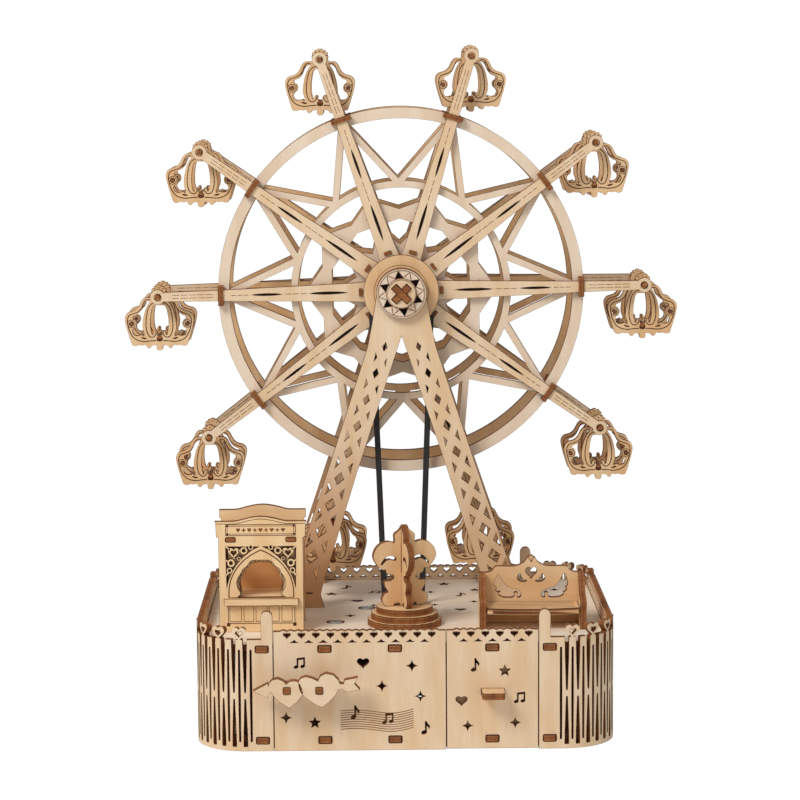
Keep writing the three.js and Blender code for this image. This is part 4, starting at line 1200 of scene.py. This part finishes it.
boothHoles = [window] + both(oriented(spandrel, True)) + boothTabs
plate("booth_front_sheet", boothOutline, boothHoles, atBoothY(boothY), "base", kind="golden",
      replaces="booth_front", grain=90)
filigree = []
for side in (-1, 1):
    ringSpots = ((12.6, 84.0, 2.3), (7.9, 85.2, 1.75), (4.6, 86.6, 1.2), (13.9, 79.7, 1.8),
                 (14.6, 76.4, 1.35),
                 (10.2, 81.6, 0.9))
    for k, (x, z, r) in enumerate(ringSpots):
        centre = (boothMid + side * x, z)
        cut = heart(*centre, r * 1.25, r * 1.1, 18) if k == 0 else circle(*centre, r * 0.5, 14)
        filigree.append((heart(*centre, r * 2.3, r * 2.2, 26) if k == 0 else circle(*centre, r, 22), [cut]))
    links = (((16.4, 87.3), (14.2, 85.4)), ((10.6, 85.0), (9.3, 85.2)), ((16.4, 81.0), (15.3, 80.4)),
             ((12.2, 81.6), (13.0, 82.2)), ((16.4, 74.0), (15.2, 75.4)), ((7.0, 87.3), (7.4, 86.4)))
    for start, stop in links:
        filigree.append((ribbon(np.array([start, stop]) * (side, 1) + (boothMid, 0), 0.8), ()))
plateSet("booth_front_filigree", filigree, atBoothY(boothY), "base", kind="golden", thickness=2.9, halo=0.14,
         rim=0.06)
valance = mirrored(openCurve(valanceHalf, 3)[:-1]) + (boothMid, 0)
plate("booth_valance", slab(boothMid - 16, 63.4, boothMid + 16, 88.0, 0.6), [valance], atBoothY(boothY + ply),
      "base", kind="golden", thickness=1.5, grain=0)
fringe = []
for k in np.linspace(-9.2, 9.2, 26):
    top = 81.2 - 0.02 * k * k - max(abs(k) - 4.5, 0) * 0.9
    fringe.append((ribbon(points((boothMid + k * 1.04, top), (boothMid + k, top - 1.9)), 0.22), ()))
for side in (-1, 1):
    for k in range(3):
        path = points((10.8 - 0.5 * k, 65.0), (9.9 - 0.3 * k, 68.0), (10.8 - 0.4 * k, 71.2),
                      (9.6 - 0.3 * k, 74.2))
        fringe.append((ribbon(openCurve(path * (side, 1), 4) + (boothMid, 0), 0.2), ()))
engrave("booth_valance_lines", fringe, atBoothY(boothY + ply - 0.05), "base", mark=sootMark)


def frameLines(x0, z0, x1, z1, width=0.3):    # rectangle drawn as a closed engraved line
    return (slab(boothMid + x0, z0, boothMid + x1, z1, 0.3),
            [slab(boothMid + x0 + width, z0 + width, boothMid + x1 - width, z1 - width, 0.2)])


boothLines = [frameLines(-16.3, 92.6, 16.3, 98.4, 0.35), frameLines(-15.5, 93.4, 15.5, 97.6, 0.25)]
boothLines += [(circle(boothMid + x, z, 0.55, 12), ()) for x in (-15.4, 15.4) for z in (93.5, 97.5)]
crest = openCurve(points(*[(x - 0.4, z - 1.2) for x, z in boothTop]), 4)
boothLines += [(ribbon(side + (boothMid, 0), 0.28), ()) for side in (crest, (crest * (-1, 1))[::-1])]
archLine = np.vstack([archHalf, (archHalf * (-1, 1))[::-1]])
boothLines.append((ribbon(archLine + (boothMid, 0), 0.5), ()))
boothLines.append((ribbon(atBooth((-15.2, 64.3), (15.2, 64.3)), 0.38), ()))
for x0, x1 in ((-14.9, -9.3), (-8.3, -3.6), (-2.7, 2.7), (3.6, 8.3), (9.3, 14.3)):
    boothLines.append(frameLines(x0, 53.3, x1, 59.4, 0.22))
boothLines += [frameLines(-15.6, 52.6, 15.6, 60.1, 0.28)]
boothLines += [(slab(boothMid + x - 0.8, z - 0.7, boothMid + x + 0.8, z + 0.7, 0.3), ())
               for x in (-15.4, 15.4) for z in (60.2, 52.2)]
engrave("booth_front_lines", boothLines, atBoothY(boothY - 0.05), "base", mark=sootMark)
signCuts = []
for k in range(-4, 5):    # a frieze of hearts and lozenges fills the sign frame
    x = boothMid + k * 2.6
    signCuts.append((heart(x, 95.4, 1.9, 2.2, 18) if k % 2 == 0 else sparkle(x, 95.5, 1.25, 16), ()))
engrave("booth_sign_frieze", signCuts, atBoothY(boothY - 0.06), "base")
plateSet("booth_tabs", [(slab(boothMid + s * 14 - 2.2, 89.6, boothMid + s * 14 + 2.2, 91.7, 0.7), ())
                        for s in (-1, 1)],
         atBoothY(boothY - 0.3), "base", kind="scorched", thickness=3.0)
backBoard = mirrored(np.vstack([points((19.6, deckTop), (19.6, 97.0), (20.4, 97.4), (20.4, 101.4)),
                                openCurve(points((20.4, 101.4), (12.4, 101.5), (8.0, 102.6), (3.6, 103.6),
                                                 (0.0, 104.0)), 4)[:-1]])) + (boothMid, 0)
backTop = boxOf("booth_back")[1][2]
backBoard[:, 1] = np.minimum(backBoard[:, 1], backTop + 4.0)
plate("booth_back_sheet", backBoard, [heart(boothMid, 82, 9, 8, 30)], atBoothY(boothBackY), "base",
      kind="golden", replaces="booth_back", grain=0)
# a thin sheet over the back board inside the booth, carrying painted shade; the crest above stays golden
plate("booth_back_shade_sheet", slab(boothMid - 15.8, deckTop + 0.1, boothMid + 15.8, 96.0, 0.5),
      [heart(boothMid, 82, 9, 8, 30)],
      atBoothY(boothBackY - 0.9), "base", kind="booth_shade", grain=0, thickness=0.8)
for name in ("booth_side_left", "booth_side_right"):
    low, high = boxOf(name)
    middle = (low[1] + high[1]) / 2
    top = np.vstack([points((low[1], deckTop), (high[1], deckTop), (high[1], high[2])),
                     openCurve(points((high[1], high[2]), (middle + 4, high[2] - 0.4),
                                      (middle, high[2] - 1.2),
                                      (middle - 4, high[2] - 0.4), (low[1], high[2])), 3)[1:]])
    holes = [rounded(points((middle - 5, 66), (middle + 5, 66), (middle + 5, 78), (middle, 83),
                            (middle - 5, 78)), 1.5)]
    plate(name + "_sheet", top, holes, facingLeft(low[0]), "base", kind="golden", replaces=name)
counterLow, counterHigh = boxOf("booth_counter")
counterTop = counterHigh[2] + 1.9
plate("booth_counter_sheet", slab(-17.2 + boothMid, counterLow[1] + 3.6, 17.2 + boothMid, counterHigh[1],
                                  0.8), [],
      facingUp(counterTop), "base", kind="golden", replaces="booth_counter", grain=0, thickness=2.7)
plate("booth_counter_lip", slab(boothMid - 17.2, counterTop - 3.2, boothMid + 17.2, counterTop + 0.1, 0.4),
      [],
      facingFront(counterLow[1] + 2.7), "base", kind="golden", grain=0, thickness=0.8)
print("booth cut")

# Bench.

benchLow, benchHigh = boxOf("bench_back")
benchMid = (benchLow[0] + benchHigh[0]) / 2
benchHalf = openCurve(points((24.6, 73.2), (20.6, 73.3), (18.3, 74.2), (17.4, 75.6), (15.8, 76.2),
                             (10.4, 76.1), (6.7, 76.4),
                             (3.6, 77.9), (2.4, 79.3), (1.9, 80.3), (1.1, 80.5), (0.9, 81.1), (0.0, 81.2)), 4)
benchBack = mirrored(np.vstack([points((24.6, deckTop)), benchHalf[:-1]])) + (benchMid, 0)
crescent = points((5.3, 72.6), (6.3, 71.4), (6.5, 70.2), (5.4, 69.0), (3.4, 68.6), (2.0, 69.1), (3.4, 69.6),
                  (4.4, 70.6),
                  (4.8, 71.8))
wing = points((15.5, 72.4), (16.6, 70.6), (17.3, 68.4), (17.0, 66.6), (16.1, 65.3), (16.9, 65.1),
              (16.0, 63.8),
              (15.0, 63.6), (15.4, 62.6), (14.2, 61.7), (12.6, 61.2), (9.4, 61.1), (8.0, 61.7), (8.1, 63.0),
              (7.2, 63.7),
              (6.2, 63.2), (6.5, 62.1), (6.2, 61.0), (5.0, 61.6), (4.8, 63.0), (5.8, 64.4), (8.0, 65.3),
              (11.0, 66.4),
              (13.2, 68.6), (14.6, 71.0))
benchCuts = [heart(benchMid, 72.8, 5.4, 5.6, 30)]
for shape in (smoothLoop(crescent, 3), smoothLoop(wing, 3)):
    benchCuts += [shape + (benchMid, 0), (shape * (-1, 1))[::-1] + (benchMid, 0)]
plate("bench_back_sheet", benchBack, benchCuts, facingFront(benchLow[1]), "base", kind="basswood",
      replaces="bench_back", grain=0)
shell = [(ribbon(points((0, 78.0), (1.5 * k, 80.3)) + (benchMid, 0), 0.22), ()) for k in (-1, -0.4, 0.4, 1)]
engrave("bench_shell_lines", shell, facingFront(benchLow[1] - 0.05), "base")
seatLow, seatHigh = boxOf("bench_seat")
seatFront = openCurve(points((seatLow[0], seatLow[1] + 2.5), (benchMid - 12, seatLow[1] + 0.6),
                             (benchMid, seatLow[1]),
                             (benchMid + 12, seatLow[1] + 0.6), (seatHigh[0], seatLow[1] + 2.5)), 5)
plate("bench_seat_sheet",
      np.vstack([seatFront, points((seatHigh[0], seatHigh[1]), (seatLow[0], seatHigh[1]))]), [],
      facingUp(seatHigh[2]), "base", kind="basswood", replaces="bench_seat", grain=0)
slats = [(slab(seatLow[0] + 2, y, seatHigh[0] - 2, y + 0.35, 0.15), ())
         for y in np.arange(seatLow[1] + 4, seatHigh[1], 3.0)]
engrave("bench_seat_lines", slats, facingUp(seatHigh[2] + 0.05), "base")
def seatEdge(p):    # a strip that follows the bowed front of the seat
    bow = 2.5 * np.clip(np.abs(p[:, 0] - benchMid) / (benchMid - seatLow[0]), 0, 1) ** 2.4
    return np.c_[p[:, 0], seatLow[1] - 0.5 + bow + p[:, 2], p[:, 1]]


stripBottom, stripTop = seatLow[2] + 0.1, seatHigh[2] - 0.7
stripX = np.linspace(seatLow[0] + 0.2, seatHigh[0] - 0.2, 24)
strip = np.vstack([np.c_[stripX, np.full(24, stripBottom)], np.c_[stripX, np.full(24, stripTop)][::-1]])
plate("bench_seat_strip", strip, [], seatEdge, "base", kind="basswood", grain=0, thickness=0.8)
for name in ("bench_side_left", "bench_side_right"):
    low, high = boxOf(name)
    profile = points((low[1] + 0.5, deckTop), (high[1], deckTop), (high[1], high[2]),
                     (high[1] - 4.5, high[2]),
                     (high[1] - 5.6, 70), (high[1] - 6.6, 66.5), (high[1] - 9.5, 64.3), (low[1] + 2.6, 63.6),
                     (low[1] + 0.4, 62.4), (low[1], 60.4), (low[1] + 1.2, 58.6), (low[1] + 1.6, 55))
    plate(name + "_sheet", rounded(profile, 1.4), [], facingLeft(low[0]), "base", kind="basswood",
          replaces=name)
print("bench cut")

# Fountain: three stacked tiers and two cross-lapped lily plates.

fountainY = (boxOf("fountain_tier_low")[0][1] + boxOf("fountain_tier_low")[1][1]) / 2
for tag, bumps in (("low", 24), ("mid", 16), ("top", 0)):
    low, high = boxOf("fountain_tier_" + tag)
    t = np.linspace(0, 2 * np.pi, 144, endpoint=False)
    reach = (high[0] - low[0]) / 2 - (0.55 * (1 - np.abs(np.sin(bumps * t / 2))) if bumps else 0)
    plate(f"fountain_tier_{tag}_sheet", np.c_[reach * np.cos(t), reach * np.sin(t)], [],
          facingUp(high[2], 0, fountainY), "base", kind="basswood", replaces="fountain_tier_" + tag, grain=15)
lilyHalf = openCurve(points((9.0, 58.1), (10.6, 59.5), (11.2, 61.6), (9.8, 64.0), (8.2, 64.7), (9.5, 67.0),
                            (9.9, 69.6),
                            (7.2, 69.8), (5.3, 71.1), (6.0, 72.5), (7.8, 72.7), (9.1, 73.8), (9.3, 75.0),
                            (10.8, 75.0),
                            (12.8, 76.5), (14.6, 79.0), (15.2, 81.7), (13.9, 84.9), (11.4, 87.1), (7.8, 88.0),
                            (5.2, 87.3), (4.9, 88.4), (4.9, 91.0), (3.0, 92.5), (1.3, 94.3), (0.0, 95.6)), 3)
lilySlot = smoothLoop(points((11.6, 78.2), (9.6, 81.0), (7.2, 82.1), (4.8, 81.4), (4.1, 80.5), (5.0, 79.8),
                             (7.2, 80.5),
                             (9.2, 79.8), (10.8, 78.2)), 3)
lilyHalf[:, 1] = 58.1 + (lilyHalf[:, 1] - 58.1) * 1.035
lilyOutline = mirrored(lilyHalf[:-1])
footArch = points((2.4, 58.4), (5.6, 58.4), (5.2, 59.3), (4.0, 59.8), (2.8, 59.3))


def lily(name, place, upperLap):    # two of these cross: one is slotted from above, the other from below
    lap = 1.75
    outline = lilyOutline
    holes = [lilySlot, (lilySlot * (-1, 1))[::-1], footArch, (footArch * (-1, 1))[::-1]]
    if upperLap:
        keep = np.abs(outline[:, 0]) > lap
        half = outline[keep & (outline[:, 0] > 0)]
        outline = mirrored(np.vstack([half, points((lap, half[-1][1] + 0.8), (lap, 74.2))]))
    else:
        outline = mirrored(np.vstack([points((lap, 73.8), (lap, 58.1)), lilyHalf[:-1]]))
    plate(name + "_sheet", outline, holes, place, "base", kind="basswood", replaces=name)




def lilyTurned(p):    # the crossed lily stands a little askew on its tiers
    return np.c_[turned(p[:, :2], 13.0) + (0, fountainY), p[:, 2]]


lily("fountain_lily_across", lambda p: lilyTurned(facingFront(-ply / 2)(p)), True)
lily("fountain_lily_along", lambda p: lilyTurned(facingLeft(-ply / 2)(p)), False)
print("fountain cut")

# Turned and metal pieces.


def metal(name, tone, rough):    # brushed metal: tone and roughness wander with fine noise
    finish, nodes, links, shader = newFinish(name)
    coords = nodes.new("ShaderNodeTexCoord")
    grit = noiseOn(nodes, links, coords.outputs["Object"], 900.0, 3.0)
    worn = noiseOn(nodes, links, coords.outputs["Object"], 120.0, 2.0)
    dark = tuple(c * 0.7 for c in tone[:3]) + (1.0,)
    links.new(mixColour(nodes, links, between(nodes, links, worn, 0.35, 0.7), tone, dark),
              shader.inputs["Base Color"])
    links.new(between(nodes, links, grit, 0.3, 0.7, rough, rough + 0.18), shader.inputs["Roughness"])
    shader.inputs["Metallic"].default_value = 1.0
    return finish


def rubberFinish():
    finish, nodes, links, shader = newFinish("belt rubber")
    coords = nodes.new("ShaderNodeTexCoord")
    dust = noiseOn(nodes, links, coords.outputs["Object"], 700.0, 3.0)
    dusty = between(nodes, links, dust, 0.4, 0.8)
    links.new(mixColour(nodes, links, dusty, rgb(30, 29, 29), rgb(48, 46, 45)), shader.inputs["Base Color"])
    shader.inputs["Roughness"].default_value = 0.72
    return finish


brass = metal("movement brass", rgb(196, 152, 78), 0.28)
steel = metal("screw steel", rgb(222, 222, 220), 0.38)
rubber = rubberFinish()


def lathe(name, profile, place, body, finish, replaces=None, count=32):
    # Turns (radius, height) pairs round an axis; place maps x, y across it and z along it.
    profile = points(*profile)
    t = np.linspace(0, 2 * np.pi, count, endpoint=False)
    verts = np.concatenate([np.c_[r * np.cos(t), r * np.sin(t), np.full(count, h)] for r, h in profile])
    rings = np.arange(len(profile) - 1)[:, None] * count
    k = np.arange(count)[None, :]
    quads = np.stack([rings + k, rings + (k + 1) % count, rings + count + (k + 1) % count,
                      rings + count + k], -1)
    mesh = bpy.data.meshes.new(name)
    mesh.from_pydata((place(verts) * mm).tolist(), [], quads.reshape(-1, 4).tolist())
    clean = bmesh.new()
    clean.from_mesh(mesh)
    bmesh.ops.remove_doubles(clean, verts=clean.verts[:], dist=1e-6)
    bmesh.ops.recalc_face_normals(clean, faces=clean.faces[:])
    clean.to_mesh(mesh)
    clean.free()
    return addPiece(name, mesh, body, [finish], replaces)


beltLow, beltHigh = boxOf("drive_belt")
pulleyAt = np.array(joints["pulley_spin"]["pos_m"]) / mm


def beltLoop(grow):    # open belt round both pulleys: two arcs joined by straight runs
    upper, lower = 14.5 + grow, 8.1 + grow
    lean = math.degrees(math.asin((upper - lower) / (hubZ - pulleyAt[2])))
    return np.vstack([arc(0, hubZ, upper, -lean, 180 + lean, 40),
                      arc(0, pulleyAt[2], lower, 180 + lean, 360 - lean, 30)])


barePlate("drive_belt_loop", [(beltLoop(1.5), [beltLoop(-1.3)])], facingFront(beltLow[1] - 0.15), "base",
          rubber, beltHigh[1] - beltLow[1] + 0.3, "drive_belt", 0.35)
pulleyLow, pulleyHigh = boxOf("lower_pulley")
pulleyPlace = facingFront(pulleyLow[1] + 4, pulleyAt[0], pulleyAt[2])
pulleyHoles = [circle(*p, 1.6, 14) for p in polarPoints(*[(6, a, 0) for a in (90, 210, 330)])]
plate("lower_pulley_front", circle(0, 0, 10.4, 64), [circle(0, 0, 1.6, 16)] + pulleyHoles, pulleyPlace,
      "drive_pulley", kind="basswood", replaces="lower_pulley")
plate("lower_pulley_core", circle(0, 0, 6.6, 48), [],
      facingFront(pulleyLow[1] + 4 + ply, pulleyAt[0], pulleyAt[2]),
      "drive_pulley", kind="basswood", thickness=pulleyHigh[1] - pulleyLow[1] - 4 - 2 * ply)
plate("lower_pulley_back", circle(0, 0, 10.4, 64), [circle(0, 0, 1.6, 16)],
      facingFront(pulleyHigh[1] - ply, pulleyAt[0], pulleyAt[2]), "drive_pulley", kind="basswood")


def alongY(x, y, z):
    return lambda p: np.c_[p[:, 0] + x, p[:, 2] + y, p[:, 1] + z]


def upright(x, y, z):
    return lambda p: p + (x, y, z)


lathe("lower_pulley_pin", [(0, 0), (1.7, 0), (2.0, 0.4), (2.0, 4.2), (0, 4.2)],
      alongY(pulleyAt[0], pulleyLow[1], pulleyAt[2]), "drive_pulley", steel)

movementTop = boxOf("music_movement")[1][2]
bed = slab(-42, -57, -9, 8.5, 1.5)
barePlate("movement_bedplate", [(bed, [circle(x, y, 1.6, 16) for x, y in screwPlaces])],
          facingUp(movementTop), "base", brass, 3.0, "music_movement", 0.2)
lathe("movement_drum", [(0, 0), (6.5, 0), (6.5, 1), (5.8, 1.2), (5.8, 40), (6.5, 40.2), (6.5, 41), (0, 41)],
      alongY(-31, -46, 32), "base", brass, count=48)
pins = [(slab(-0.25, -0.25, 0.25, 0.25, 0.1) + (5.7 * math.cos(a), 5.7 * math.sin(a)), ()) for a in
        np.arange(0, 6.2, 0.37)]
for k in range(9):
    turnedPins = [(turned(o, k * 23.0), h) for o, h in pins]
    barePlate(f"movement_pins_{k + 1}", turnedPins, facingFront(-42 + k * 4.1, -31, 32), "base",
              steel, 0.5, None, 0.05)
combTeeth = [(slab(-25.6, -43.6 + k * 2.08, -24.4, -42.2 + k * 2.08, 0.2), ()) for k in range(18)]
barePlate("movement_comb", [(slab(-24.6, -44, -17, -6, 0.5), ())] + combTeeth, facingUp(34), "base",
          steel, 1.2, None, 0.1)
lathe("movement_barrel", [(0, 0), (9, 0), (9, 1.6), (8, 2), (8, 12), (9, 12.4), (9, 14), (0, 14)],
      upright(-25, -1, 27.5), "base", brass, count=48)
toothAt = [(8.2, -3.0), (9.4, -1.4), (9.4, 1.4), (8.2, 3.0)]    # radius, degrees from the tooth middle
gear = polarPoints(*[(r, k * 15 + side, 0) for k in range(24) for r, side in toothAt])
gearHoles = [circle(*p, 1.5, 14) for p in polarPoints(*[(5, a, 0) for a in (0, 90, 180, 270)])]
barePlate("movement_gear", [(gear, [circle(0, 0, 2, 16)] + gearHoles)], facingFront(-3.5, -31, 34), "base",
          brass, 1.6, None, 0.1)

crossCut = np.vstack([turned(points((1.5, -0.3), (1.5, 0.3), (0.3, 0.3)), 30 + 90 * k) for k in range(4)])
for index, (x, y) in enumerate(screwPlaces):
    screwFoot = boxOf(f"deck_screw_{index + 1}")[0][2]
    top = deckTop + 0.5
    barePlate(f"deck_screw_{index + 1}_head",
              [(circle(0, 0, 2.5, 32), [turned(crossCut * 1.35, 40.0 * index)])],
              facingUp(top, x, y), "base", steel, 1.0, f"deck_screw_{index + 1}", 0.12)
    shank = [(0, screwFoot), (0.6, screwFoot), (1.2, screwFoot + 1.5), (1.2, top - 2.2), (3.5, top - 2.2),
             (3.65, top - 1.6), (3.3, top - 0.6), (2.47, top - 0.12), (2.3, top - 0.9), (0, top - 0.9)]
    lathe(f"deck_screw_{index + 1}_shank", shank, upright(x, y, 0), "base", steel)

keyLow, keyHigh = boxOf("winding_key")
keyLong = keyHigh[1] - keyLow[1]
keyShaft = [(0, 0), (2, 0), (2, keyLong - 9.5), (5, keyLong - 9.5), (5, keyLong - 0.4), (4.6, keyLong),
            (0, keyLong)]
lathe("winding_key_shaft", keyShaft, alongY(keyAt[0], keyLow[1], keyAt[2]), "key", cutEdge,
      "winding_key")
gripHalf = openCurve(points((0, 3.6), (3.4, 3.8), (6.2, 6.0), (9.2, 7.0), (12.2, 5.6), (13, 0)), 5)
gripLoop = mirrored(np.vstack([gripHalf * (1, 1), (gripHalf[:-1] * (1, -1))[::-1]])[1:-1])
plate("winding_key_grip", gripLoop, [heart(8.2, 0, 4.6, 4.4, 20), heart(-8.2, 0, 4.6, 4.4, 20)],
      facingFront(keyHigh[1] - 7.5, keyAt[0], keyAt[2]), "key", kind="basswood", grain=0)
print("metalwork done")

# Stage, light, camera.

stage = {"floorSize": 6.0, "floorTone": rgb(244, 243, 240), "floorGlow": 0.93, "key": 30.6, "fill": 2.4,
         "world": 0.38}


def backdrop(name, tone, glow):
    # Seen by the camera it is mostly plain white; to the light it is an ordinary matt sheet.
    finish, nodes, links, shader = newFinish(name)
    shader.inputs["Base Color"].default_value = tone
    shader.inputs["Roughness"].default_value = 0.9
    shine = nodes.new("ShaderNodeEmission")
    shine.inputs["Strength"].default_value = 1.06
    path = nodes.new("ShaderNodeLightPath")
    share = nodes.new("ShaderNodeMath")
    share.operation = "MULTIPLY"
    share.inputs[1].default_value = glow
    blend = nodes.new("ShaderNodeMixShader")
    links.new(path.outputs["Is Camera Ray"], share.inputs[0])
    links.new(share.outputs[0], blend.inputs[0])
    links.new(shader.outputs[0], blend.inputs[1])
    links.new(shine.outputs[0], blend.inputs[2])
    links.new(blend.outputs[0], nodes["Material Output"].inputs["Surface"])
    return finish


def makeStage():
    half = stage["floorSize"] / 2
    mesh = bpy.data.meshes.new("floor")
    mesh.from_pydata([(-half, -half, 0), (half, -half, 0), (half, half, 0), (-half, half, 0)], [],
                     [(0, 1, 2, 3)])
    mesh.materials.append(backdrop("pale floor", stage["floorTone"], stage["floorGlow"]))
    floor = bpy.data.objects.new("floor", mesh)
    collection.objects.link(floor)


def softLight(name, place, aim, size, power):
    data = bpy.data.lights.new(name, "AREA")
    data.size = size
    data.energy = power
    lamp = bpy.data.objects.new(name, data)
    lamp.location = place
    lamp.rotation_euler = (Vector(aim) - Vector(place)).to_track_quat("-Z", "Y").to_euler()
    collection.objects.link(lamp)


makeStage()
softLight("key", (-1.05, -1.15, 1.6), (0, 0, 0.12), 0.8, stage["key"])
softLight("fill", (1.2, -1.3, 0.9), (0, 0, 0.12), 1.2, stage["fill"])
world = bpy.data.worlds.new("studio")
bpy.context.scene.world = world
world.use_nodes = True
sky = world.node_tree.nodes["Background"]
sky.inputs["Color"].default_value = (1, 1, 1, 1)
seen = world.node_tree.nodes.new("ShaderNodeLightPath")
strength = world.node_tree.nodes.new("ShaderNodeMapRange")
strength.inputs["To Min"].default_value = stage["world"]
strength.inputs["To Max"].default_value = 1.05
world.node_tree.links.new(seen.outputs["Is Camera Ray"], strength.inputs["Value"])
world.node_tree.links.new(strength.outputs["Result"], sky.inputs["Strength"])

view = {"place": (-0.01436, -1.2305, 0.3146), "pitch": -0.132, "yaw": -0.0108, "roll": -0.0069, "lens": 116.8}
cameraData = bpy.data.cameras.new("camera")
cameraData.lens = view["lens"]
cameraData.sensor_width = 36
cameraData.clip_end = 20
camera = bpy.data.objects.new("camera", cameraData)
collection.objects.link(camera)
turn = Matrix.Rotation(view["yaw"], 4, "Z") @ Matrix.Rotation(math.pi / 2 + view["pitch"], 4, "X")
camera.matrix_world = Matrix.Translation(view["place"]) @ turn @ Matrix.Rotation(view["roll"], 4, "Z")
bpy.context.scene.camera = camera
bpy.context.scene.view_settings.view_transform = "Standard"
print("stage set")
